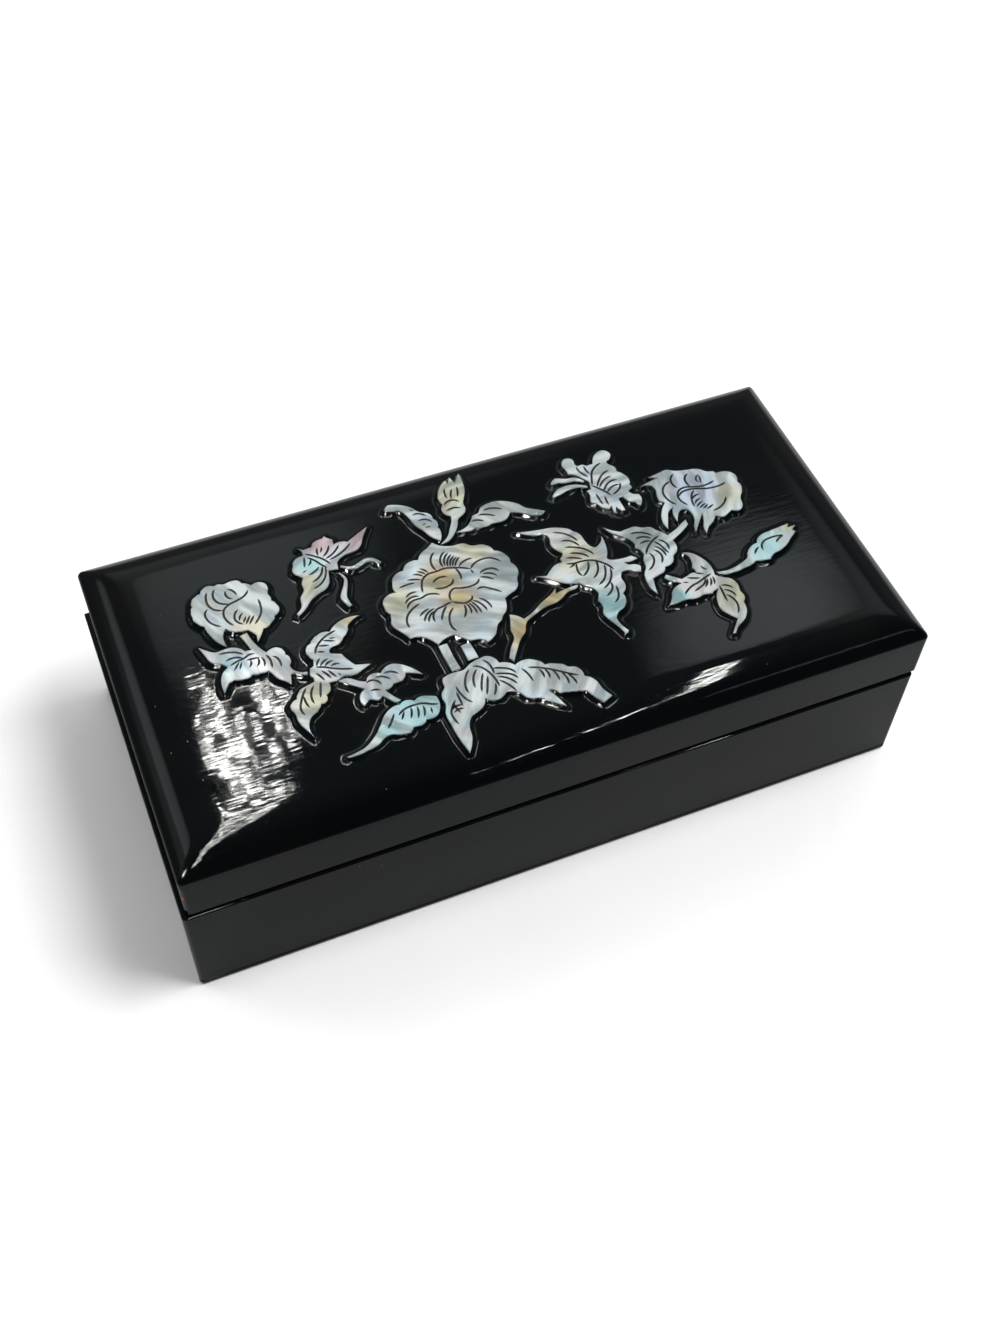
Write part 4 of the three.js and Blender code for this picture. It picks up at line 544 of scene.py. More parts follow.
def lacquer_material(settings):
    """Urushi lacquer on wood, black with a little brown in it, polished by hand. The brown lies in
    clouds, partly the brown of aged lacquer and partly a painted reflection of brown things in the
    room.

    It mirrors the room, weakly and a little coolly, as in the photograph. The reflection
    ripples, because the coats were laid with a wide brush and rubbed down. A few grains of dust,
    faint scuffs and one chip show its age.
    """
    material = new_material("black_lacquer")
    tree = material.node_tree
    place = add_node(tree, "ShaderNodeTexCoord").outputs["Object"]
    # Brown clouds: the brown of aged lacquer, and a painted reflection of brown things in the room
    brown_age_and_reflection = noise_at(tree, place, 45, 2.0, 0.6)
    brown = soft_range(tree, brown_age_and_reflection, 0.5, 0.78, 0.0, 0.8)
    body = blended(tree, brown, tuple(settings.black), tuple(settings.brown))

    # Grains of dust: one in the middle of some cells, near one place on the lid
    dust_cells = {"Vector": place, "Scale": per_size(4.5), "Randomness": 1.0}
    dust = add_node(tree, "ShaderNodeTexVoronoi", dust_cells)
    grain_inputs = {0: dust.outputs["Distance"], 1: 0.035}
    grain = add_node(tree, "ShaderNodeMath", grain_inputs, operation="LESS_THAN")
    some = add_node(tree, "ShaderNodeSeparateColor", {0: dust.outputs["Color"]})
    kept = add_node(tree, "ShaderNodeMath", {0: some.outputs[0], 1: 0.55}, operation="GREATER_THAN")
    middle = tuple(c * MM for c in DUST_PLACE)
    away = add_node(tree, "ShaderNodeVectorMath", {0: place, 1: middle}, operation="DISTANCE")
    dust_fade = [distance * MM for distance in DUST_FADE]
    dusty = soft_range(tree, away.outputs["Value"], *dust_fade, 1.0, 0.0)
    speck_inputs = {0: grain.outputs[0], 1: kept.outputs[0]}
    specks = add_node(tree, "ShaderNodeMath", speck_inputs, operation="MULTIPLY")
    specks = add_node(tree, "ShaderNodeMath", {0: specks.outputs[0], 1: dusty}, operation="MULTIPLY")
    body = blended(tree, specks.outputs[0], body, colour("#8d8a84"))

    # The chip: a ball with a ragged edge, where the wood shows
    crumbly = noise_at(tree, place, 0.7, 2.0)
    chip_centre = tuple(c * MM for c in CHIP_PLACE)
    chip_inputs = {0: place, 1: chip_centre}
    chip_distance = add_node(tree, "ShaderNodeVectorMath", chip_inputs, operation="DISTANCE")
    ragged_inputs = {0: crumbly, 1: -0.9 * MM, 2: chip_distance.outputs["Value"]}
    ragged = add_node(tree, "ShaderNodeMath", ragged_inputs, operation="MULTIPLY_ADD")
    edge = (CHIP_RADIUS - 0.45) * MM
    chip = soft_range(tree, ragged.outputs[0], edge - 0.08 * MM, edge + 0.08 * MM, 1.0, 0.0)
    body = blended(tree, chip, body, colour("#9a5f3c"))

    # Scuffs: long and thin, on the slant, duller than the rest
    scuff_inputs = {"Vector": place, "Rotation": (0, 0, 0.7), "Scale": (0.05, 1.0, 1.0)}
    scuff_place = add_node(tree, "ShaderNodeMapping", scuff_inputs).outputs[0]
    scuffed = soft_range(tree, noise_at(tree, scuff_place, 0.5, 2.0), 0.66, 0.74, 0.0, 0.10)
    rough = add_node(tree, "ShaderNodeMath", {0: scuffed, 1: settings.roughness}, operation="ADD")
    rough_inputs = {0: chip, 1: 0.6, 2: rough.outputs[0]}
    rough = add_node(tree, "ShaderNodeMath", rough_inputs, operation="MULTIPLY_ADD").outputs[0]

    # Waves: the wood's slow ones, those of the rubbing, and brush marks along the box
    brush_inputs = {"Vector": place, "Scale": (0.18, 1.0, 1.0)}
    brush_place = add_node(tree, "ShaderNodeMapping", brush_inputs).outputs[0]
    brushed = noise_at(tree, brush_place, 0.9, 0.0)
    rubbed = noise_at(tree, place, 3.0, 1.0)
    broad = noise_at(tree, place, 20, 1.0)
    normal = waves(tree, broad, settings.long_wave / MM)
    normal = waves(tree, rubbed, 0.6 * settings.ripple / MM, normal)
    normal = waves(tree, brushed, settings.ripple / MM, normal)
    normal = waves(tree, chip, -0.15, normal)
    shader = add_node(
        tree,
        "ShaderNodeBsdfPrincipled",
        {
            "Base Color": body,
            "Roughness": rough,
            "IOR": 1.5,
            "Specular IOR Level": 0.055,
            "Specular Tint": colour("#f1ffff"),
            "Normal": normal,
        },
    )
    return finish_material(material, shader)


def shell_material(settings):
    """Mother-of-pearl, cut as thin plate, polished and left silvery.

    Satin streaks run across each piece; their sheen is painted into the colour as lighter and
    darker bands, and the grey turns a little pink, green or blue along them. Ochre, pink and teal
    stains come from the piece's own tint, and its grey patches are painted shade where the sheen
    turns away.
    """
    material = new_material("mother_of_pearl")
    tree = material.node_tree
    place = add_node(tree, "ShaderNodeUVMap", uv_map="nacre").outputs[0]
    bend = add_node(tree, "ShaderNodeTexNoise", {"Vector": place, "Scale": per_size(9), "Detail": 1.0})
    bent_inputs = {0: bend.outputs["Color"], 1: (4 * MM, 4 * MM, 0), 2: place}
    bent = add_node(tree, "ShaderNodeVectorMath", bent_inputs, operation="MULTIPLY_ADD").outputs[0]
    streak_inputs = {"Vector": bent, "Scale": (0.24, 1.0, 1.0)}
    streaked = add_node(tree, "ShaderNodeMapping", streak_inputs).outputs[0]
    streaks = noise_at(tree, streaked, 0.9, 3.0, 0.55)
    patches = noise_at(tree, bent, 5.5, 1.5)
    # Painted sheen: broad satin bands that lighten the grey towards Pearl; the fine streaks below are
    # the shell's own layers
    painted_sheen = soft_range(tree, noise_at(tree, streaked, 3.6, 1.0), 0.37, 0.65, 0.0, 0.85)
    light = soft_range(tree, streaks, 0.34, 0.68, 0.0, 0.2)
    light = add_node(tree, "ShaderNodeMath", {0: painted_sheen, 1: light}, operation="ADD").outputs[0]
    body = blended(tree, light, tuple(settings.shadow), tuple(settings.pearl))
    hues = add_node(tree, "ShaderNodeValToRGB", {0: patches})
    ramp = hues.color_ramp
    ramp.elements[0].position = 0.36
    ramp.elements[0].color = colour("#9fb4c0")
    ramp.elements[1].position = 0.62
    ramp.elements[1].color = colour("#b3b2b6")
    ramp.elements.new(0.5).color = colour("#acb6ac")
    body = blended(tree, 0.35, body, hues.outputs[0])
    tint = add_node(tree, "ShaderNodeAttribute", attribute_name="tint")
    tint_inputs = {0: tint.outputs["Alpha"], 6: body, 7: tint.outputs["Color"]}
    tinted = add_node(tree, "ShaderNodeMix", tint_inputs, data_type="RGBA", blend_type="MULTIPLY")
    body = tinted.outputs[2]
    rough = soft_range(tree, streaks, 0.35, 0.65, 0.44, 0.32)
    normal = waves(tree, streaks, 0.012)
    normal = waves(tree, patches, 0.05, normal)
    shader = add_node(
        tree,
        "ShaderNodeBsdfPrincipled",
        {
            "Base Color": body,
            "Roughness": rough,
            "IOR": 1.55,
            "Specular IOR Level": 0.12,
            "Coat Weight": 0.1,
            "Coat Roughness": 0.06,
            "Normal": normal,
        },
    )
    return finish_material(material, shader)


def engraving_material(settings):
    """Lines cut with a fine point and rubbed with dark lacquer, duller than the polished shell."""
    material = new_material("lacquer_in_engraving")
    tree = material.node_tree
    place = add_node(tree, "ShaderNodeTexCoord").outputs["Object"]
    worn = soft_range(tree, noise_at(tree, place, 1.5), 0.4, 0.75)
    body = blended(tree, worn, tuple(settings.engraving), colour("#1e2123"))
    inputs = {"Base Color": body, "Roughness": 0.5, "IOR": 1.5, "Specular IOR Level": 0.08}
    return finish_material(material, add_node(tree, "ShaderNodeBsdfPrincipled", inputs))


def velvet_material(settings):
    """Short cotton velvet, dark red, glued over card.

    Pile brushed one way or the other gives lighter and darker patches of painted sheen, and it
    is paler along a slanting view.
    """
    material = new_material("cotton_velvet")
    tree = material.node_tree
    place = add_node(tree, "ShaderNodeTexCoord").outputs["Object"]
    # Painted sheen: lighter and darker patches where the pile lies one way or the other
    brushed = soft_range(tree, noise_at(tree, place, 14, 2.0, 0.6), 0.35, 0.68)
    pile = noise_at(tree, place, 0.45, 3.0, 0.65)
    deep = tuple(settings.velvet)
    body = blended(tree, brushed, deep, colour("#7a1d2b"))
    body = blended(tree, soft_range(tree, pile, 0.3, 0.75, 0.0, 0.5), body, colour("#36060e"))
    normal = waves(tree, pile, 0.35)
    shader = add_node(
        tree,
        "ShaderNodeBsdfPrincipled",
        {
            "Base Color": body,
            "Roughness": 0.92,
            "IOR": 1.45,
            "Specular IOR Level": 0.2,
            "Sheen Weight": 0.6,
            "Sheen Roughness": 0.45,
            "Sheen Tint": colour("#c9606a"),
            "Normal": normal,
        },
    )
    return finish_material(material, shader)


def brass_material(settings):
    """Rolled brass, darkened by handling: golden where rubbed, brown where it isn't."""
    material = new_material("aged_brass")
    tree = material.node_tree
    place = add_node(tree, "ShaderNodeTexCoord").outputs["Object"]
    stain = soft_range(tree, noise_at(tree, place, 3.5, 3.0, 0.6), 0.42, 0.72)
    body = blended(tree, stain, tuple(settings.brass), colour("#6b5230"))
    rolled_inputs = {"Vector": place, "Scale": (0.06, 1.0, 1.0)}
    rolled = add_node(tree, "ShaderNodeMapping", rolled_inputs).outputs[0]
    grain = noise_at(tree, rolled, 0.12, 2.0)
    rough = soft_range(tree, stain, 0.0, 1.0, 0.26, 0.46)
    shader = add_node(
        tree,
        "ShaderNodeBsdfPrincipled",
        {
            "Base Color": body,
            "Metallic": 1.0,
            "Roughness": rough,
            "Normal": waves(tree, grain, 0.006),
        },
    )
    return finish_material(material, shader)


def finish_named(name, maker, settings):
    """The material of that name, made once."""
    return bpy.data.materials.get(name) or maker(settings)


# Meshes
def corners(*nodes):
    """Lowest and highest corner of some solids together, in millimetres."""
    lows, highs = zip(*(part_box(node) for node in nodes))
    return np.min(lows, axis=0) / MM, np.max(highs, axis=0) / MM


def piece(name, points, faces, body, material, replaced=()):
    """A finished piece: points in millimetres, smooth except where faces meet at an angle."""
    mesh = bpy.data.meshes.new(name)
    mesh.from_pydata((np.asarray(points) * MM).tolist(), [], faces)
    work = bmesh.new()
    work.from_mesh(mesh)
    bmesh.ops.recalc_face_normals(work, faces=work.faces)
    work.to_mesh(mesh)
    work.free()
    mesh.shade_smooth()
    mesh.set_sharp_from_angle(angle=SHARP_ANGLE)
    mesh.materials.append(material)
    made = bpy.data.objects.new(name, mesh)
    bpy.context.scene.collection.objects.link(made)
    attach(made, body)
    if replaced:
        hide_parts(*replaced)
    return made


def keep_flats(made):
    """Weights the shading by face area, so that a large face stays flat up to its rounding."""
    made.modifiers.new("even shading", "WEIGHTED_NORMAL").keep_sharp = True


def grid_faces(rows, columns, wrap_rows=False, wrap_columns=False):
    """Four-sided faces of a grid of points, joined round on itself where asked."""
    row = np.arange(rows if wrap_rows else rows - 1)
    column = np.arange(columns if wrap_columns else columns - 1)
    row, column = np.meshgrid(row, column, indexing="ij")
    row, column = row.ravel(), column.ravel()
    next_row, next_column = (row + 1) % rows, (column + 1) % columns
    faces = [
        row * columns + column,
        next_row * columns + column,
        next_row * columns + next_column,
        row * columns + next_column,
    ]
    return np.stack(faces, axis=-1).tolist()


def closed_slab(x, y, z, foot):
    """A solid under a grid of points: straight down from its rim to a flat underside at foot."""
    rows, columns = x.shape
    numbers = np.arange(rows * columns).reshape(rows, columns)
    rim = np.concatenate(
        [numbers[:-1, 0], numbers[-1, :-1], numbers[:0:-1, -1], numbers[0, :0:-1]]
    )
    top = np.stack([x, y, z], axis=-1).reshape(-1, 3)
    under = top[rim].copy()
    under[:, 2] = foot
    below = len(top) + np.arange(len(rim))
    sides = np.stack([rim, np.roll(rim, -1), np.roll(below, -1), below], axis=-1)
    faces = grid_faces(rows, columns) + sides.tolist() + [below.tolist()]
    return np.concatenate([top, under]), faces


def joined(shapes):
    """Several shapes, each its points and faces, as one."""
    all_points, all_faces, count = [], [], 0
    for points, faces in shapes:
        all_points.append(points)
        all_faces += [[corner + count for corner in face] for face in faces]
        count += len(points)
    return np.concatenate(all_points), all_faces


def rounded_rectangle(low, high, radius, steps):
    """Four corners of a rounded rectangle, from the right front one and counter-clockwise.

    A corner is a quarter circle: its centre plus radius times the cosine and sine of the angle.
    """
    turn = np.linspace(0, np.pi / 2, steps + 1)
    angle = np.array([-0.5, 0, 0.5, 1])[:, None] * np.pi + turn
    centres = np.array([[high[0], low[1]], [high[0], high[1]], [low[0], high[1]], [low[0], low[1]]])
    inwards = np.array([[-1, 1], [-1, -1], [1, -1], [1, 1]]) * radius
    around = radius * np.stack([np.cos(angle), np.sin(angle)], axis=-1)
    return (centres + inwards)[:, None, :] + around


# Wooden frames
def rim_drop(across, from_back, pin_inset, in_seat, rounding):
    """How far the rim lies below its highest plane.

    The edges are quarter circles. The stop bevel is a plane, the barrel's room a cylinder round
    the pin, and the leaf's seat is flat. The deepest of them counts. from_back is the distance
    to the back face, and in_seat is true inside a hinge's length.
    """
    outer = np.clip(rounding - across, 0, rounding)
    inner = np.clip(across - (WALL - INNER_RADIUS), 0, INNER_RADIUS)
    drop = rounding - np.sqrt(rounding**2 - outer**2)
    drop = drop + INNER_RADIUS - np.sqrt(INNER_RADIUS**2 - inner**2)
    rise, run = math.sin(STOP_ANGLE), math.cos(STOP_ANGLE)
    bevel_depth = (STOP_CLEARANCE + rise * pin_inset) / run - PIN_TO_RIM
    bevel_width = pin_inset - (run * PIN_TO_RIM - STOP_CLEARANCE) / rise
    bevel = bevel_depth * (1 - from_back / bevel_width)
    barrel = np.sqrt(np.clip(BARREL_ROOM**2 - (from_back - pin_inset) ** 2, 0, None)) - PIN_TO_RIM
    seat = np.where(in_seat, np.maximum(barrel, SEAT_DEPTH), 0)
    return np.maximum(np.maximum(drop, bevel), seat)


def wooden_frame(low, high, rim_up, corner_radius, rounding, foot_rounding):
    """A frame of four walls as one lacquered skin.

    A closed profile across the wall is carried round the rounded rectangle. Each point of it lies
    on the straight line from the outer outline to the inner one.
    """
    outer = rounded_rectangle(low, high, corner_radius, CORNER_STEPS)
    inner = rounded_rectangle(low + WALL, high - WALL, INNER_RADIUS, CORNER_STEPS)
    pin_inset = high[1] - PIN_Y
    middles = [np.mean([corners(pin)[0][0], corners(pin)[1][0]]) for pin in HINGE_PINS]
    ends = np.array([1, 1, -1, -1]) * SEAT_HALF_LENGTH
    seat_ends = [middle + end for middle in sorted(middles, reverse=True) for end in ends]
    back = np.array([[x, high[1]] for x in seat_ends])
    outer = np.concatenate([outer[0], outer[1], back, outer[2], outer[3]])
    inner = np.concatenate([inner[0], inner[1], back - [0, WALL], inner[2], inner[3]])
    corner_flags = [False] * (2 * (CORNER_STEPS + 1))
    seat_flags = [False, True, True, False] * len(middles)
    in_hinge = np.array(corner_flags + seat_flags + corner_flags)

    seat_edge = pin_inset + SEAT_REACH
    quarter = 1 - np.cos(np.linspace(0, np.pi / 2, EDGE_POINTS))
    across = np.concatenate(
        [
            rounding * quarter,
            np.linspace(rounding, pin_inset + BARREL_ROOM, RIM_POINTS)[1:],
            [seat_edge, seat_edge],
            WALL - INNER_RADIUS * quarter[::-1],
        ]
    )
    before_edge = np.arange(len(across)) < EDGE_POINTS + RIM_POINTS
    outside, inwards = outer[:, None, :], (inner - outer)[:, None, :]
    spot = outside + inwards * (across / WALL)[None, :, None]
    in_seat = in_hinge[:, None] & before_edge[None, :]
    drop = rim_drop(across[None, :], high[1] - spot[..., 1], pin_inset, in_seat, rounding)
    rim, foot, up = (high[2], low[2], 1) if rim_up else (low[2], high[2], -1)
    heights = rim - up * drop

    foot_steps = [1.0, 0.3, 0.0] if foot_rounding else [0.0]
    foot_across = foot_rounding * np.array(foot_steps)
    foot_height = foot + up * foot_across[::-1]
    foot_spot = outside + inwards * (foot_across / WALL)[None, :, None]
    stations = len(outer)
    first = np.dstack([foot_spot, np.broadcast_to(foot_height, (stations, len(foot_across)))])
    profile = np.dstack([spot, heights])
    last = np.dstack([inner[:, None, :], np.full((stations, 1), foot)])
    points = np.concatenate([first, profile, last], axis=1)
    faces = grid_faces(stations, points.shape[1], True, True)
    return points.reshape(-1, 3), faces


def stacked_slab(low, high, radius, rings):
    """A slab whose outline is drawn in by each ring's inset at that ring's height."""
    loops = []
    for inset, height in rings:
        corner = max(radius - inset, 0.1)
        loop = rounded_rectangle(low[:2] + inset, high[:2] - inset, corner, CORNER_STEPS)
        loop = loop.reshape(-1, 2)
        loops.append(np.column_stack([loop, np.full(len(loop), height)]))
    around = len(loops[0])
    faces = grid_faces(len(loops), around, False, True)
    bottom = list(range(around))
    top = list(range((len(loops) - 1) * around, len(loops) * around))
    return np.concatenate(loops), faces + [bottom, top]


# Shell outlines
def rim_loop(triangles):
    """The loop of edges that have a triangle on one side only."""
    edges = np.concatenate([triangles[:, [0, 1]], triangles[:, [1, 2]], triangles[:, [2, 0]]])
    known = set(map(tuple, edges.tolist()))
    onward = {a: b for a, b in known if (b, a) not in known}
    loop = [min(onward)]
    while onward[loop[-1]] != loop[0]:
        loop.append(onward[loop[-1]])
    return loop


def solid_outline(node):
    """The outline of a shell piece's solid in millimetres, read round its flat top."""
    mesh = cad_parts[node].data
    points = np.zeros(len(mesh.vertices) * 3)
    mesh.vertices.foreach_get("co", points)
    points = points.reshape(-1, 3) / MM
    mesh.calc_loop_triangles()
    triangles = np.zeros(len(mesh.loop_triangles) * 3, int)
    mesh.loop_triangles.foreach_get("vertices", triangles)
    triangles = triangles.reshape(-1, 3)
    top = triangles[np.all(points[triangles][:, :, 2] > SHELL_TOP - 0.05, axis=1)]
    merged, numbers = np.unique(points[:, :2].round(3), axis=0, return_inverse=True)
    return merged[rim_loop(numbers.reshape(-1)[top])]


def smooth_curve(points, spacing, closed, sharpest):
    """A smooth curve through points, with a sharp corner kept where the turn is above a limit.

    Each part is a cubic with a tangent at both ends. A tangent is the mean of the two directions,
    each weighted by the other part's length, as on a circle. At a sharp corner it mirrors the
    tangent at the part's other end.
    """
    points = np.asarray(points, float)
    ahead = np.roll(points, -1, axis=0) - points if closed else np.diff(points, axis=0)
    length = np.linalg.norm(ahead, axis=1)
    way = ahead / length[:, None]
    if closed:
        before, before_length = np.roll(way, 1, axis=0), np.roll(length, 1)
        after, after_length = way, length
    else:
        before = np.concatenate([way[:1], way])
        after = np.concatenate([way, way[-1:]])
        before_length = np.concatenate([length[:1], length])
        after_length = np.concatenate([length, length[-1:]])
    tangent = before * after_length[:, None] + after * before_length[:, None]
    tangent /= np.linalg.norm(tangent, axis=1)[:, None]
    turn = np.arccos(np.clip(np.sum(before * after, axis=1), -1, 1))
    sharp = turn > sharpest
    if not closed:
        sharp[[0, -1]] = True
    parts = np.arange(len(ahead))
    ends = (parts + 1) % len(points)
    start_way, end_way = tangent[parts], tangent[ends]
    mirrored_start = 2 * np.sum(way * end_way, axis=1)[:, None] * way - end_way
    mirrored_end = 2 * np.sum(way * start_way, axis=1)[:, None] * way - start_way
    both = (sharp[parts] & sharp[ends])[:, None]
    start_way = np.where(both, way, np.where(sharp[parts][:, None], mirrored_start, start_way))
    end_way = np.where(both, way, np.where(sharp[ends][:, None], mirrored_end, end_way))
    counts = np.maximum(np.ceil(length / spacing), 1).astype(int)
    part = np.repeat(parts, counts)
    along = (np.arange(len(part)) - np.repeat(np.cumsum(counts) - counts, counts)) / counts[part]
    s = along[:, None]
    size = length[part][:, None]
    curve = (
        (2 * s**3 - 3 * s**2 + 1) * points[part]
        + (s**3 - 2 * s**2 + s) * size * start_way[part]
        + (3 * s**2 - 2 * s**3) * points[ends[part]]
        + (s**3 - s**2) * size * end_way[part]
    )
    return curve if closed else np.concatenate([curve, points[-1:]])


def depth_inside(points, outline):
    """Distance from each point to a closed outline, positive inside and negative outside.

    The distance is the least one to the outline's straight parts. A point is inside where a ray
    to the right crosses them an odd number of times.
    """
    start = outline[None, :, :]
    ahead = np.roll(outline, -1, axis=0)[None, :, :] - start
    depths = []
    for some in np.array_split(points, max(1, len(points) * len(outline) // BATCH)):
        offset = some[:, None, :] - start
        along = np.clip(np.sum(offset * ahead, axis=2) / np.sum(ahead**2, axis=2), 0, 1)
        distance = np.linalg.norm(offset - along[..., None] * ahead, axis=2).min(axis=1)
        below = offset[..., 1] < 0
        end_below = offset[..., 1] < ahead[..., 1]
        flat = np.where(ahead[..., 1] == 0, 1, ahead[..., 1])
        crossing = offset[..., 1] / flat * ahead[..., 0] > offset[..., 0]
        inside = np.sum((below != end_below) & crossing, axis=1) % 2 == 1
        depths.append(np.where(inside, distance, -distance))
    return np.concatenate(depths)


def shell_outlines(spacing):
    """Smoothed outlines of all shell pieces, by the names of their solids."""
    return {
        node: smooth_curve(solid_outline(node), spacing, True, OUTLINE_SHARP_ANGLE)
        for node in SHELL_NODES
    }


# Lid
def edge_lines(low, high, fine_low, fine_high, fine_step):
    """Grid lines between two edges: even over the fine middle, and denser towards an edge."""
    near = np.array(EDGE_DISTANCES)
    fine = np.linspace(fine_low, fine_high, round((fine_high - fine_low) / fine_step) + 1)
    left = low + near[low + near < fine_low - fine_step]
    right = high - near[high - near > fine_high + fine_step]
    left_count = round((fine_low - left[-1]) / COARSE_STEP)
    right_count = round((right[-1] - fine_high) / COARSE_STEP)
    left_fill = np.linspace(left[-1], fine_low, 2 + left_count)[1:-1]
    right_fill = np.linspace(fine_high, right[-1], 2 + right_count)[1:-1]
    return np.concatenate([left, left_fill, fine, right_fill, right[::-1]])


def round_corners(x, y, low, high, corner_radius):
    """Moves the points of each corner square onto a quarter disc.

    A point at distance a along the longer side of its square goes to radius a, and the ratio of
    its two sides gives the angle.
    """
    middle, half = (low + high) / 2, (high - low) / 2
    side_x, side_y = np.sign(x - middle[0]), np.sign(y - middle[1])
    over_x = np.clip(np.abs(x - middle[0]) - half[0] + corner_radius, 0, None)
    over_y = np.clip(np.abs(y - middle[1]) - half[1] + corner_radius, 0, None)
    radius = np.maximum(over_x, over_y)
    ratio = np.minimum(over_x, over_y) / np.where(radius == 0, 1, radius)
    angle = np.where(over_x >= over_y, ratio, 2 - ratio) * np.pi / 4
    in_corner = (over_x > 0) & (over_y > 0)
    new_x = middle[0] + side_x * (half[0] - corner_radius + radius * np.cos(angle))
    new_y = middle[1] + side_y * (half[1] - corner_radius + radius * np.sin(angle))
    return np.where(in_corner, new_x, x), np.where(in_corner, new_y, y)


def crown_height(x, y, low, high, corner_radius, softness):
    """Height of the cushion shape: side plus crown * (1 - (1 - d / width) ** 3).

    d is the distance in from the edge. Where two sides meet it is a soft minimum of the two
    distances, so the mitre is sharp near the corner and fades towards the flat top. The very edge
    falls off by softness * exp(-d / (0.6 * softness)).
    """
    middle, half = (low + high) / 2, (high - low) / 2
    from_x = np.maximum(half[0] - np.abs(x - middle[0]), 1e-3)
    from_y = np.maximum(half[1] - np.abs(y - middle[1]), 1e-3)
    soft = (from_x**-8.0 + from_y**-8.0) ** (-1 / 8)
    beyond_x = np.clip(corner_radius - from_x, 0, None)
    beyond_y = np.clip(corner_radius - from_y, 0, None)
    rounded = corner_radius - np.hypot(beyond_x, beyond_y)
    in_corner = (beyond_x > 0) & (beyond_y > 0)
    inset = np.where(in_corner, np.minimum(soft, rounded), soft)
    share = np.clip(inset / CROWN_WIDTH, 0, 1)
    fall = softness * np.exp(-inset / (0.6 * softness))
    return LID_SIDE_TOP + CROWN_HEIGHT * (1 - (1 - share) ** 3) - fall


def lacquer_fillets(x, y, outlines, height, reach):
    """Rise of the lacquer built up round each shell piece.

    It is height * (1 - d / reach) ** 3, where d is the distance from the piece.
    """
    rise = np.zeros_like(x)
    for outline in outlines.values():
        low, high = outline.min(axis=0) - reach, outline.max(axis=0) + reach
        near = (x > low[0]) & (x < high[0]) & (y > low[1]) & (y < high[1])
        depth = depth_inside(np.column_stack([x[near], y[near]]), outline)
        share = np.clip(1 + depth / reach, 0, 1)
        rise[near] = np.maximum(rise[near], height * share**3)
    return rise


# Shell pieces
def shell_top_height(depth, rounding):
    """Height of a shell piece's top, some depth in from its outline: a rounding, then flat.

    The rounding is a quarter ellipse, 0.8 as high as it is wide.
    """
    out = np.clip(1 - depth / rounding, 0, 1)
    return SHELL_TOP - 0.8 * rounding * (1 - np.sqrt(1 - out**2))


def shell_solid(outline, rounding):
    """A flat plate with a rounded upper edge.

    Its top is triangles between the outline, three rows of points close inside it and an even
    pattern of points further in. Walls go straight down from the outline.
    """
    around = np.roll(outline, -1, axis=0) - np.roll(outline, 1, axis=0)
    inwards = np.column_stack([-around[:, 1], around[:, 0]])
    inwards /= np.linalg.norm(inwards, axis=1)[:, None]
    rows = []
    for offset in rounding * np.array([0.2, 0.55, 1.0]):
        row = outline + offset * inwards
        rows.append(row[depth_inside(row, outline) > 0.92 * offset])
    step = SHELL_GRID_STEP
    low, high = outline.min(axis=0), outline.max(axis=0)
    x, y = np.meshgrid(np.arange(low[0], high[0], step), np.arange(low[1], high[1], step * 0.866))
    x = x + 0.5 * step * (np.arange(len(x)) % 2)[:, None]
    pattern = np.column_stack([x.ravel(), y.ravel()])
    rows.append(pattern[depth_inside(pattern, outline) > rounding + 0.35 * step])
    flat = np.concatenate([outline, *rows])
    rim = list(range(len(outline)))
    made = delaunay_2d_cdt([Vector(p) for p in flat.tolist()], [], [rim], 1, 1e-5)
    flat = np.array([tuple(p) for p in made[0]])
    triangles = np.array(made[2])
    depth = np.clip(depth_inside(flat, outline), 0, None)
    loop = np.array(rim_loop(triangles))
    depth[loop] = 0
    top = np.column_stack([flat, shell_top_height(depth, rounding)])
    under = top[loop].copy()
    under[:, 2] = SHELL_FOOT
    below = len(top) + np.arange(len(loop))
    sides = np.stack([loop, below, np.roll(below, -1), np.roll(loop, -1)], axis=-1)
    faces = triangles.tolist() + sides.tolist() + [below[::-1].tolist()]
    return np.concatenate([top, under]), faces


def give_nacre(made, number, stain_and_shade_colours):
    """Gives a shell piece its streak direction as a UV map, and its stains as a tint.

    The UV is the place on the lid, turned by the golden angle for each piece. A stain fades with
    the square of the distance from its middle. The grey stains are painted shade where the nacre's
    sheen turns away.
    """
    mesh = made.data
    place = np.zeros(len(mesh.vertices) * 3)
    mesh.vertices.foreach_get("co", place)
    place = place.reshape(-1, 3)[:, :2]
    turn = GOLDEN_ANGLE * number + 0.4
    turned = np.column_stack(
        [
            place[:, 0] * math.cos(turn) + place[:, 1] * math.sin(turn),
            place[:, 1] * math.cos(turn) - place[:, 0] * math.sin(turn),
        ]
    )
    vertex = np.zeros(len(mesh.loops), int)
    mesh.loops.foreach_get("vertex_index", vertex)
    mesh.uv_layers.new(name="nacre").data.foreach_set("uv", turned[vertex].ravel())
    tint = np.ones((len(place), 4))
    tint[:, 3] = 0
    for name, x, y, radius in SHELL_STAINS_AND_SHADES:
        away = np.hypot(place[:, 0] / MM - x, place[:, 1] / MM - y) / radius
        strength = STAIN_AND_SHADE_STRENGTH * np.clip(1 - away**2, 0, 1)
        stronger = strength > tint[:, 3]
        tint[stronger, :3] = stain_and_shade_colours[name][:3]
        tint[stronger, 3] = strength[stronger]
    stains = mesh.color_attributes.new("tint", "FLOAT_COLOR", "POINT")
    stains.data.foreach_set("color", tint.ravel())


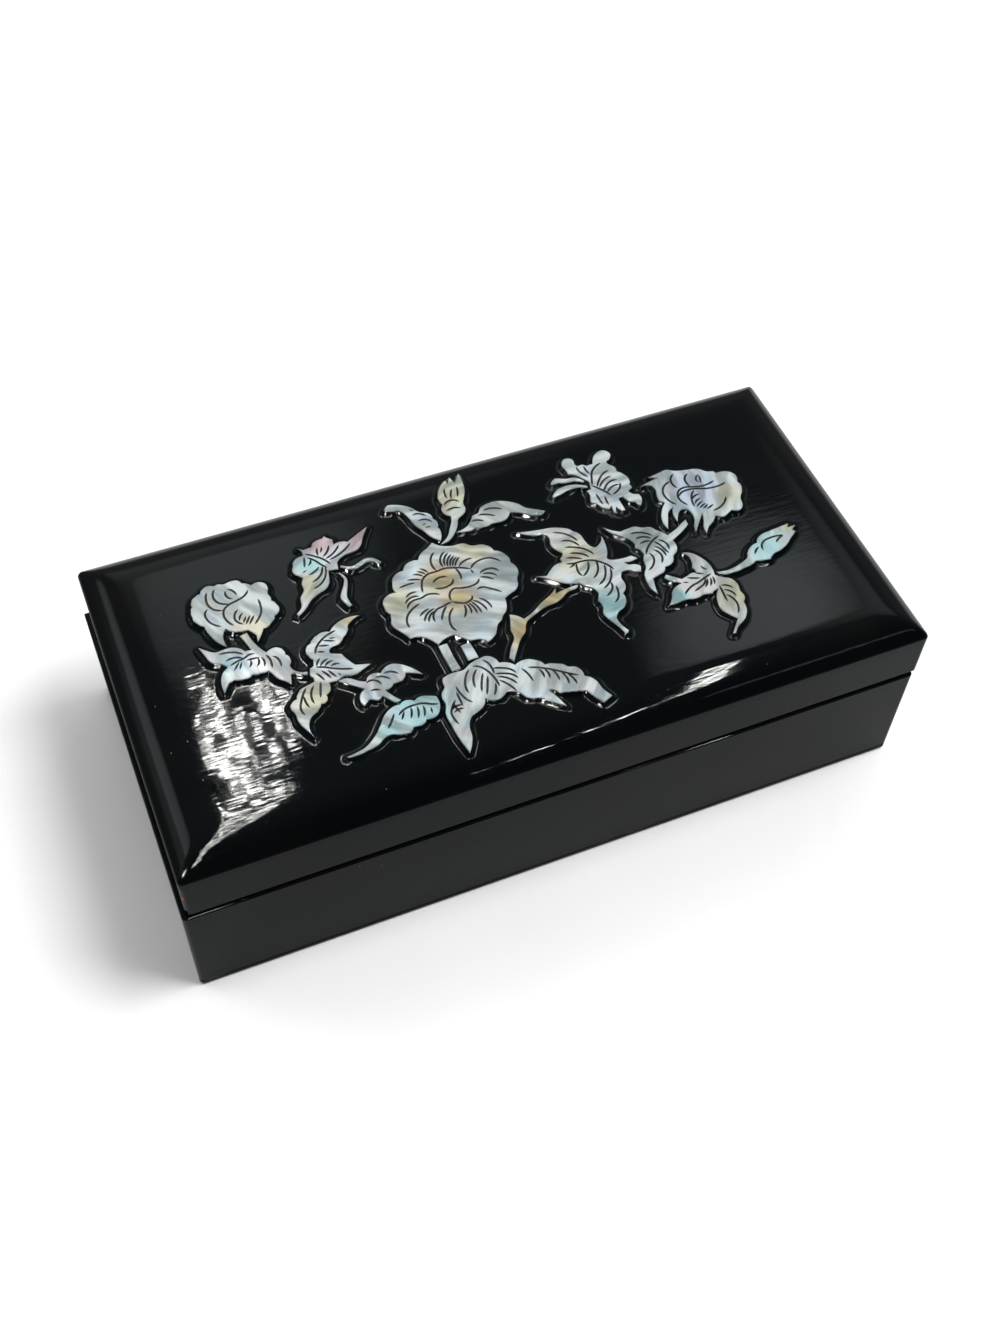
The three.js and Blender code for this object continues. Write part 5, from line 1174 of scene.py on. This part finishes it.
def engraved_line(stroke, outline, half_width, rounding):
    """A thin strip along a stroke, a hair above the shell, that narrows to both ends.

    Half the width is half_width * (distance to the nearer end / taper) ** 0.6 within the taper.
    """
    centre = smooth_curve(stroke, LINE_STEP, False, STROKE_SHARP_ANGLE)
    depth = depth_inside(centre, outline)
    inside = np.flatnonzero(depth > LINE_INSET)
    if len(inside) < 3:
        return None
    centre = centre[inside[0] : inside[-1] + 1]
    depth = np.clip(depth[inside[0] : inside[-1] + 1], LINE_INSET, None)
    ahead = np.gradient(centre, axis=0)
    ahead /= np.linalg.norm(ahead, axis=1)[:, None]
    left = np.column_stack([-ahead[:, 1], ahead[:, 0]])
    run = np.concatenate([[0], np.cumsum(np.linalg.norm(np.diff(centre, axis=0), axis=1))])
    to_end = np.minimum(run, run[-1] - run) + 0.05
    half = (half_width * np.clip(to_end / LINE_TAPER, 0, 1) ** 0.6)[:, None]
    upper = shell_top_height(depth, rounding)[:, None] + LINE_STAND
    lower = upper - LINE_THICKNESS
    sides = [
        np.hstack([centre + left * half, upper]),
        np.hstack([centre - left * half, upper]),
        np.hstack([centre - left * half, lower]),
        np.hstack([centre + left * half, lower]),
    ]
    points = np.stack(sides, axis=1).reshape(-1, 3)
    last = 4 * (len(centre) - 1)
    faces = grid_faces(len(centre), 4, False, True)
    return points, faces + [[0, 1, 2, 3], [last + 3, last + 2, last + 1, last]]


# Linings
def pad_surface(length, depth, thickness, rim, crown, rounding):
    """A grid over a padded panel, with its middle at the origin and its underside at height 0.

    Height is rim at the edge, rises over a quarter ellipse to the panel's thickness less crown,
    and bulges by crown * (1 - u ** 4) * (1 - v ** 4). The sides draw in by 0.2 between corners.
    A slow wave of 0.05 shows the hand that glued it.
    """
    near = rounding * np.array([0, 0.03, 0.1, 0.22, 0.4, 0.65, 1.0])
    lines = []
    for size in (length, depth):
        count = max(2, round(size / COARSE_STEP))
        inner = np.linspace(-size / 2 + rounding, size / 2 - rounding, count)
        lines.append(np.concatenate([-size / 2 + near[:-1], inner, (size / 2 - near[:-1])[::-1]]))
    x, y = np.meshgrid(*lines, indexing="ij")
    u, v = 2 * x / length, 2 * y / depth
    from_edge = np.minimum(length / 2 - np.abs(x), depth / 2 - np.abs(y))
    out = np.clip(1 - from_edge / rounding, 0, 1)
    shoulder = thickness - crown
    z = rim + (shoulder - rim) * np.sqrt(1 - out**2) + crown * (1 - u**4) * (1 - v**4)
    z = z - 0.05 * (1 - out) * (1 + np.sin(x / 7 + np.sin(y / 9)) * np.sin(y / 6)) / 2
    x = x - 0.2 * u * (1 - v**2)
    y = y - 0.2 * v * (1 - u**2)
    return x, y, z


# Settings
def colour_setting(name, description, hex_code):
    """A colour that a user can change."""
    return bpy.props.FloatVectorProperty(
        name=name,
        description=description,
        subtype="COLOR",
        size=4,
        default=colour(hex_code),
    )


def length_setting(name, description, millimetres):
    """A small length that a user can change."""
    return bpy.props.FloatProperty(
        name=name,
        description=description,
        default=millimetres * MM,
        unit="LENGTH",
        precision=6,
    )


def amount_setting(name, description, default, greatest=10000.0):
    """A plain amount from 0 up that a user can change."""
    return bpy.props.FloatProperty(
        name=name,
        description=description,
        default=default,
        min=0,
        max=greatest,
    )


class LacquerSettings(bpy.types.PropertyGroup):
    """Colours and surface of the lacquered wood."""

    black: colour_setting("Black", "Colour of most of the lacquer", "#06090b")
    # The brown is partly a painted reflection of brown things in the room, besides aged lacquer's own
    # brown
    brown: colour_setting("Brown", "Colour where aged lacquer lets some light through", "#0f0c0a")
    roughness: amount_setting("Roughness", "How much the polish scatters a reflection", 0.03, 1.0)
    ripple: length_setting("Ripple", "Depth of the fine brush ripple", 0.0055)
    long_wave: length_setting("Long Wave", "Depth of the wood's slow waves under the lacquer", 0.05)
    edge_rounding: length_setting("Edge Rounding", "Radius of the frames' outer edges", 0.4)
    fillet_height: length_setting("Fillet Height", "Rise of the lacquer against the shell", 1.0)
    fillet_reach: length_setting("Fillet Reach", "Width of the lacquer slope round the shell", 1.6)


class ShellSettings(bpy.types.PropertyGroup):
    """Colours and edges of the shell pieces."""

    # The grey runs from Shadow to Pearl through the painted satin sheen and the shell's own fine
    # streaks
    pearl: colour_setting("Pearl", "Colour of the bright streaks", "#b9c4c7")
    shadow: colour_setting("Shadow", "Colour of the dark streaks", "#525c60")
    engraving: colour_setting("Engraving", "Colour of the lacquer in the cut lines", "#101214")
    rim_rounding: length_setting("Rim Rounding", "Radius of a shell piece's upper edge", 0.3)
    line_width: length_setting("Line Width", "Greatest width of an engraved line", 0.62)


class FittingSettings(bpy.types.PropertyGroup):
    """Colours and edges of the linings and hinges."""

    velvet: colour_setting("Velvet", "Colour of the pile, seen straight on", "#5c1320")
    brass: colour_setting("Brass", "Colour of the rubbed metal", "#b8975a")
    pad_crown: length_setting("Pad Crown", "Bulge in the middle of a pad", 0.5)
    metal_rounding: length_setting("Metal Rounding", "Width of the hinge leaves' worn edges", 0.1)


class StageSettings(bpy.types.PropertyGroup):
    """Strengths of the lights. What has a radiance of 1 is seen as white."""

    key: amount_setting("Key Light", "Radiance of the soft light on the right", 12.6)
    window: amount_setting("Window", "Radiance of the window that the lid's left end mirrors", 540.0)
    strip: amount_setting("Strip", "Radiance of the band that the lid's front edge mirrors", 900.0)
    ceiling_lamp: amount_setting("Ceiling Lamp", "Radiance of the lamp high on the left", 4500.0)
    side: amount_setting("Side", "Radiance of the wide pale band over the front right", 8.4)
    room: amount_setting("Room", "Brightness of the room near the horizon", 0.33)
    ceiling: amount_setting("Ceiling", "Brightness of the room overhead and behind", 0.58)


# Operators
class BOX_OT_base_frame(bpy.types.Operator):
    """Makes the four lacquered walls of the base and the board under them"""

    bl_idname = "jewelry_box.base_frame"
    bl_label = "Base Frame"

    def execute(self, context):
        settings = context.scene.box_lacquer
        lacquer = finish_named("black_lacquer", lacquer_material, settings)
        rounding = settings.edge_rounding / MM
        low, high = corners(*BASE_WALLS)
        points, faces = wooden_frame(low, high, True, BASE_CORNER_RADIUS, rounding, SEAM_ROUNDING)
        keep_flats(piece("base_frame", points, faces, "base", lacquer, BASE_WALLS))
        low, high = corners("base_bottom_board")
        edge = SEAM_ROUNDING
        rings = [
            (FOOT_CHAMFER + edge, 0),
            (FOOT_CHAMFER + 0.2 * edge, 0.3 * edge),
            (0.3 * edge, FOOT_CHAMFER - 0.2 * edge),
            (0, FOOT_CHAMFER + edge),
            (0, high[2] - edge),
            (0.3 * edge, high[2] - 0.3 * edge),
            (edge, high[2]),
        ]
        points, faces = stacked_slab(low, high, BASE_CORNER_RADIUS, rings)
        board = piece("bottom_board", points, faces, "base", lacquer, ["base_bottom_board"])
        keep_flats(board)
        return {"FINISHED"}


class BOX_OT_lid(bpy.types.Operator):
    """Makes the lid's lacquered frame and its cushion-shaped top"""

    bl_idname = "jewelry_box.lid"
    bl_label = "Lid"

    def execute(self, context):
        settings = context.scene.box_lacquer
        lacquer = finish_named("black_lacquer", lacquer_material, settings)
        rounding = settings.edge_rounding / MM
        low, high = corners(*LID_RAILS)
        points, faces = wooden_frame(low, high, False, LID_CORNER_RADIUS, rounding, 0)
        keep_flats(piece("lid_frame", points, faces, "lid", lacquer, LID_RAILS))

        low, high = corners("lid_top_board")
        reach = settings.fillet_reach / MM
        outlines = shell_outlines(SLOPE_OUTLINE_STEP)
        everything = np.concatenate(list(outlines.values()))
        fine_low, fine_high = everything.min(axis=0) - reach, everything.max(axis=0) + reach
        lines = [
            edge_lines(low[i], high[i], fine_low[i], fine_high[i], LID_GRID_STEP) for i in (0, 1)
        ]
        x, y = np.meshgrid(*lines, indexing="ij")
        x, y = round_corners(x, y, low, high, LID_CORNER_RADIUS)
        z = crown_height(x, y, low, high, LID_CORNER_RADIUS, CROWN_SOFTNESS)
        z = z + lacquer_fillets(x, y, outlines, settings.fillet_height / MM, reach)
        points, faces = closed_slab(x, y, z, low[2])
        keep_flats(piece("lid_top", points, faces, "lid", lacquer, ["lid_top_board"]))
        return {"FINISHED"}


class BOX_OT_shell_pieces(bpy.types.Operator):
    """Makes the shell flowers, leaves and butterflies and the lines cut into them"""

    bl_idname = "jewelry_box.shell_pieces"
    bl_label = "Shell Pieces"

    def execute(self, context):
        settings = context.scene.box_shell
        pearl = finish_named("mother_of_pearl", shell_material, settings)
        dark = finish_named("lacquer_in_engraving", engraving_material, settings)
        stain_and_shade_colours = {
            "ochre": colour("#edc988"),
            "cream": colour("#fbeeca"),
            "pink": colour("#ffd8de"),
            "rose": colour("#f8ece8"),
            "lilac": colour("#e4eaff"),
            # Grey of the painted shade where the nacre's sheen turns away
            "painted_shade": colour("#a9b1b0"),
            "teal": colour("#bfeef0"),
        }
        rounding = settings.rim_rounding / MM
        half_width = settings.line_width / MM / 2
        for number, (node, outline) in enumerate(shell_outlines(SHELL_OUTLINE_STEP).items()):
            name = node.removeprefix("inlay_")
            points, faces = shell_solid(outline, rounding)
            made = piece(f"shell_{name}", points, faces, "lid", pearl, [node])
            give_nacre(made, number, stain_and_shade_colours)
            strokes = ENGRAVING.get(name, [])
            lines = [engraved_line(stroke, outline, half_width, rounding) for stroke in strokes]
            lines = [line for line in lines if line]
            if lines:
                points, faces = joined(lines)
                piece(f"engraving_{name}", points, faces, "lid", dark)
        return {"FINISHED"}


class BOX_OT_linings(bpy.types.Operator):
    """Makes the velvet panels in the base and the lid"""

    bl_idname = "jewelry_box.linings"
    bl_label = "Linings"

    def execute(self, context):
        settings = context.scene.box_fittings
        velvet = finish_named("cotton_velvet", velvet_material, settings)
        crown = settings.pad_crown / MM

        low, high = corners("base_floor_pad")
        size, middle = high - low, (low + high) / 2
        thickness = size[2] + FLOOR_PAD_RISE
        x, y, z = pad_surface(size[0], size[1], thickness, FLOOR_PAD_RIM, crown, FLOOR_PAD_SHOULDER)
        points, faces = closed_slab(x + middle[0], y + middle[1], low[2] + z, low[2])
        made = piece("floor_pad", points, faces, "base", velvet, ["base_floor_pad"])

        low, high = corners("lid_lining_pad")
        size, middle = high - low, (low + high) / 2
        x, y, z = pad_surface(size[0], size[1], size[2], LID_PAD_RIM, crown, LID_PAD_SHOULDER)
        points, faces = closed_slab(x + middle[0], y + middle[1], high[2] - z, high[2])
        made = piece("lid_pad", points, faces, "lid", velvet, ["lid_lining_pad"])

        for side, node in LININGS.items():
            low, high = corners(node)
            size, middle = high - low, (low + high) / 2
            along = 0 if side in ("front", "back") else 1
            shape = (size[1 - along], STRIP_RIM, STRIP_CROWN, STRIP_SHOULDER)
            x, y, z = pad_surface(size[along], size[2], *shape)
            points, faces = closed_slab(x, y, z, 0)
            placed = np.zeros_like(points)
            placed[:, along] = points[:, 0] + middle[along]
            placed[:, 2] = points[:, 1] + middle[2]
            if side in ("front", "left"):
                placed[:, 1 - along] = low[1 - along] + points[:, 2]
            else:
                placed[:, 1 - along] = high[1 - along] - points[:, 2]
            made = piece(f"wall_lining_{side}", placed, faces, "base", velvet, [node])
        return {"FINISHED"}


class BOX_OT_hinges(bpy.types.Operator):
    """Makes the brass hinges and screws with worn edges"""

    bl_idname = "jewelry_box.hinges"
    bl_label = "Hinges"

    def execute(self, context):
        settings = context.scene.box_fittings
        brass = finish_named("aged_brass", brass_material, settings)
        for node in HINGE_NODES:
            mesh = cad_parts[node].data.copy()
            work = bmesh.new()
            work.from_mesh(mesh)
            bmesh.ops.remove_doubles(work, verts=work.verts, dist=0.002 * MM)
            flat = math.radians(1)
            bmesh.ops.dissolve_limit(work, angle_limit=flat, verts=work.verts, edges=work.edges)
            work.to_mesh(mesh)
            work.free()
            mesh.materials.clear()
            mesh.materials.append(brass)
            mesh.shade_smooth()
            mesh.set_sharp_from_angle(angle=SHARP_ANGLE)
            made = bpy.data.objects.new(f"brass_{node}", mesh)
            context.scene.collection.objects.link(made)
            worn = made.modifiers.new("worn edges", "BEVEL")
            worn.width = settings.metal_rounding * (1 if node.endswith("leaf") else 0.5)
            worn.segments = 2
            worn.limit_method = "ANGLE"
            worn.angle_limit = SHARP_ANGLE
            worn.use_clamp_overlap = True
            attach(made, "lid" if "_lid_" in node else "base")
            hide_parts(node)
        return {"FINISHED"}


class BOX_OT_stage(bpy.types.Operator):
    """Makes the floor, the lights, the room and the camera"""

    bl_idname = "jewelry_box.stage"
    bl_label = "Stage"

    def execute(self, context):
        settings = context.scene.box_stage
        make_floor(context)
        make_room(context, settings)
        make_key_light(context, settings.key)
        light_band(context, "window_band", WINDOW_BAND, WINDOW_SLAT, settings.window)
        light_band(context, "front_band", FRONT_BAND, FRONT_SLAT, settings.strip)
        light_band(context, "side_band", SIDE_BAND, SIDE_SLAT, settings.side)
        light_band(context, "ceiling_band", CEILING_BAND, CEILING_SLAT, settings.ceiling_lamp)
        make_camera(context)
        return {"FINISHED"}


# Stage
def make_floor(context):
    """A white sheet under the box. It renders white, and keeps the box's shadow.

    Past the photograph's view it fades to a light grey.
    """
    around = np.linspace(0, 2 * np.pi, FLOOR_SIDES + 1)[:-1]
    out = FLOOR_RADIUS * np.array([0.05, 0.25, 0.5, 1.0])
    x = out[:, None] * np.cos(around)
    y = out[:, None] * np.sin(around)
    points = np.stack([x, y, np.zeros_like(x)], axis=-1).reshape(-1, 3)
    mesh = bpy.data.meshes.new("white_floor")
    rings = grid_faces(len(out), FLOOR_SIDES, False, True)
    mesh.from_pydata(points.tolist(), [], rings + [list(range(FLOOR_SIDES))])
    material = new_material("white_paper")
    tree = material.node_tree
    place = add_node(tree, "ShaderNodeTexCoord").outputs["Object"]
    fibres = noise_at(tree, place, 30, 2.0)
    body = blended(tree, fibres, colour("#fafafa"), colour("#ffffff"))
    away = add_node(tree, "ShaderNodeVectorMath", {0: place}, operation="LENGTH").outputs["Value"]
    body = blended(tree, soft_range(tree, away, *FLOOR_FADE), body, colour("#bcbcbc"))
    paper = add_node(tree, "ShaderNodeBsdfDiffuse", {"Color": body})
    seen = add_node(tree, "ShaderNodeLightPath").outputs
    either_inputs = {0: seen["Is Camera Ray"], 1: seen["Is Glossy Ray"]}
    either = add_node(tree, "ShaderNodeMath", either_inputs, operation="MAXIMUM").outputs[0]
    any_inputs = {0: either, 1: seen["Is Transmission Ray"]}
    any_of_them = add_node(tree, "ShaderNodeMath", any_inputs, operation="MAXIMUM").outputs[0]
    glow_inputs = {0: any_of_them, 1: FLOOR_GLOW}
    strength = add_node(tree, "ShaderNodeMath", glow_inputs, operation="MULTIPLY").outputs[0]
    glow = add_node(tree, "ShaderNodeEmission", {"Color": colour("#ffffff"), "Strength": strength})
    surface = add_node(tree, "ShaderNodeAddShader", {0: paper.outputs[0], 1: glow.outputs[0]})
    finish_material(material, surface)
    mesh.materials.append(material)
    floor = bpy.data.objects.new("floor", mesh)
    context.scene.collection.objects.link(floor)


def make_room(context, settings):
    """A dim room, lighter towards the back, with a few soft bright places.

    A bright place fades with the angle to its middle, by the product of the two directions.
    """
    world = bpy.data.worlds.new("room")
    world.use_nodes = True
    tree = world.node_tree
    tree.nodes.clear()
    way = add_node(tree, "ShaderNodeTexCoord").outputs["Generated"]
    along = add_node(tree, "ShaderNodeSeparateXYZ", {0: way}).outputs

    # Even near the horizon, and overhead darker in front and lighter behind
    overhead = soft_range(tree, along["Y"], -0.6, 0.65, 0.0, settings.ceiling)
    level = soft_range(tree, along["Z"], 0.08, 0.35, settings.room, overhead)
    for turn, rise, radius, brightness in ROOM_PLACES:
        turn, rise = math.radians(turn), math.radians(rise)
        middle = (math.sin(turn) * math.cos(rise), math.cos(turn) * math.cos(rise), math.sin(rise))
        near = add_node(tree, "ShaderNodeVectorMath", {0: way, 1: middle}, operation="DOT_PRODUCT")
        edge = math.cos(math.radians(radius))
        spot = soft_range(tree, near.outputs["Value"], edge, 1.0, 0.0, brightness)
        level = add_node(tree, "ShaderNodeMath", {0: level, 1: spot}, operation="ADD").outputs[0]
    sky = add_node(tree, "ShaderNodeBackground", {"Color": colour("#ffffff"), "Strength": level})
    add_node(tree, "ShaderNodeOutputWorld", {"Surface": sky.outputs[0]})
    context.scene.world = world


def make_key_light(context, radiance):
    """A flat square lamp that faces the box, on the right. Its power is radiance * pi * area."""
    lamp = bpy.data.lights.new("key_light", "AREA")
    lamp.size = KEY_SIZE
    lamp.energy = radiance * math.pi * KEY_SIZE**2
    made = bpy.data.objects.new("key_light", lamp)
    context.scene.collection.objects.link(made)
    made.location = KEY_PLACE
    made.rotation_euler = (-Vector(KEY_PLACE)).to_track_quat("-Z", "Y").to_euler()
    made.visible_glossy = False


def light_band(context, name, line, slat, radiance):
    """A band of light overhead that shows in reflections alone.

    It hangs at BAND_HEIGHT, as a strip of changing width along a line. It is like a window with
    branches before it and a blind: rows of small oblongs, of which some are open.
    """
    line = np.array(line)
    left = np.column_stack([line[:, 0] - line[:, 2] / 2, line[:, 1]])
    right = np.column_stack([line[:, 0] + line[:, 2] / 2, line[:, 1]])
    points = np.stack([left, right], axis=1).reshape(-1, 2)
    points = np.column_stack([points, np.full(len(points), BAND_HEIGHT)])
    mesh = bpy.data.meshes.new(name)
    mesh.from_pydata(points.tolist(), [], grid_faces(len(line), 2))
    material = new_material(name)
    tree = material.node_tree
    place = add_node(tree, "ShaderNodeTexCoord").outputs["Object"]
    slats = {
        "Vector": place,
        "Color1": (1, 1, 1, 1),
        "Color2": (0.0, 0.0, 0.0, 1),
        "Mortar": (0.0, 0.0, 0.0, 1),
        "Scale": 1.0,
        "Mortar Size": 0.1 * slat[1],
        "Mortar Smooth": 0.2,
        "Bias": 0.0,
        "Brick Width": slat[0],
        "Row Height": slat[1],
    }
    blind = add_node(tree, "ShaderNodeTexBrick", slats).outputs["Color"]
    branches = soft_range(tree, noise_at(tree, place, 10, 2.0), 0.48, 0.51)
    open_parts = soft_range(tree, blind, 0.5, 0.6, 0.0, radiance)
    glow_inputs = {0: open_parts, 1: branches}
    strength = add_node(tree, "ShaderNodeMath", glow_inputs, operation="MULTIPLY").outputs[0]
    glow = add_node(tree, "ShaderNodeEmission", {"Color": colour("#fff3ef"), "Strength": strength})
    mesh.materials.append(finish_material(material, glow))
    band = bpy.data.objects.new(name, mesh)
    context.scene.collection.objects.link(band)
    band.visible_camera = False
    band.visible_diffuse = False
    band.visible_shadow = False


def make_camera(context):
    """The photograph's camera, worked out from the box's corners."""
    lens = bpy.data.cameras.new("camera")
    lens.sensor_fit = "AUTO"
    lens.sensor_width = 36
    lens.lens = CAMERA_LENS
    lens.clip_start = 0.01
    lens.clip_end = 20
    camera = bpy.data.objects.new("camera", lens)
    context.scene.collection.objects.link(camera)
    camera.location = CAMERA_PLACE
    camera.rotation_euler = [math.radians(angle) for angle in CAMERA_TURN]
    context.scene.camera = camera
    context.scene.view_settings.view_transform = "Standard"


# Panel
OPERATORS = [
    BOX_OT_base_frame,
    BOX_OT_lid,
    BOX_OT_shell_pieces,
    BOX_OT_linings,
    BOX_OT_hinges,
    BOX_OT_stage,
]
SETTINGS = {
    "box_lacquer": LacquerSettings,
    "box_shell": ShellSettings,
    "box_fittings": FittingSettings,
    "box_stage": StageSettings,
}


class BOX_PT_panel(bpy.types.Panel):
    """Lists the settings and the steps of the jewelry box"""

    bl_idname = "BOX_PT_panel"
    bl_label = "Jewelry Box"
    bl_space_type = "VIEW_3D"
    bl_region_type = "UI"
    bl_category = "Jewelry Box"

    def draw(self, context):
        for name, group in SETTINGS.items():
            column = self.layout.box().column()
            for value in group.__annotations__:
                column.prop(getattr(context.scene, name), value)
        for operator in OPERATORS:
            self.layout.operator(operator.bl_idname)


def register():
    """Registers the settings, the operators and the panel."""
    for name, group in SETTINGS.items():
        bpy.utils.register_class(group)
        setattr(bpy.types.Scene, name, bpy.props.PointerProperty(type=group))
    for operator in OPERATORS:
        bpy.utils.register_class(operator)
    bpy.utils.register_class(BOX_PT_panel)


def unregister():
    """Takes back what register did, in the opposite order."""
    bpy.utils.unregister_class(BOX_PT_panel)
    for operator in reversed(OPERATORS):
        bpy.utils.unregister_class(operator)
    for name, group in reversed(SETTINGS.items()):
        delattr(bpy.types.Scene, name)
        bpy.utils.unregister_class(group)


def main():
    register()
    bpy.ops.jewelry_box.base_frame()
    bpy.ops.jewelry_box.lid()
    bpy.ops.jewelry_box.shell_pieces()
    bpy.ops.jewelry_box.linings()
    bpy.ops.jewelry_box.hinges()
    bpy.ops.jewelry_box.stage()


if __name__ == "__main__":
    main()
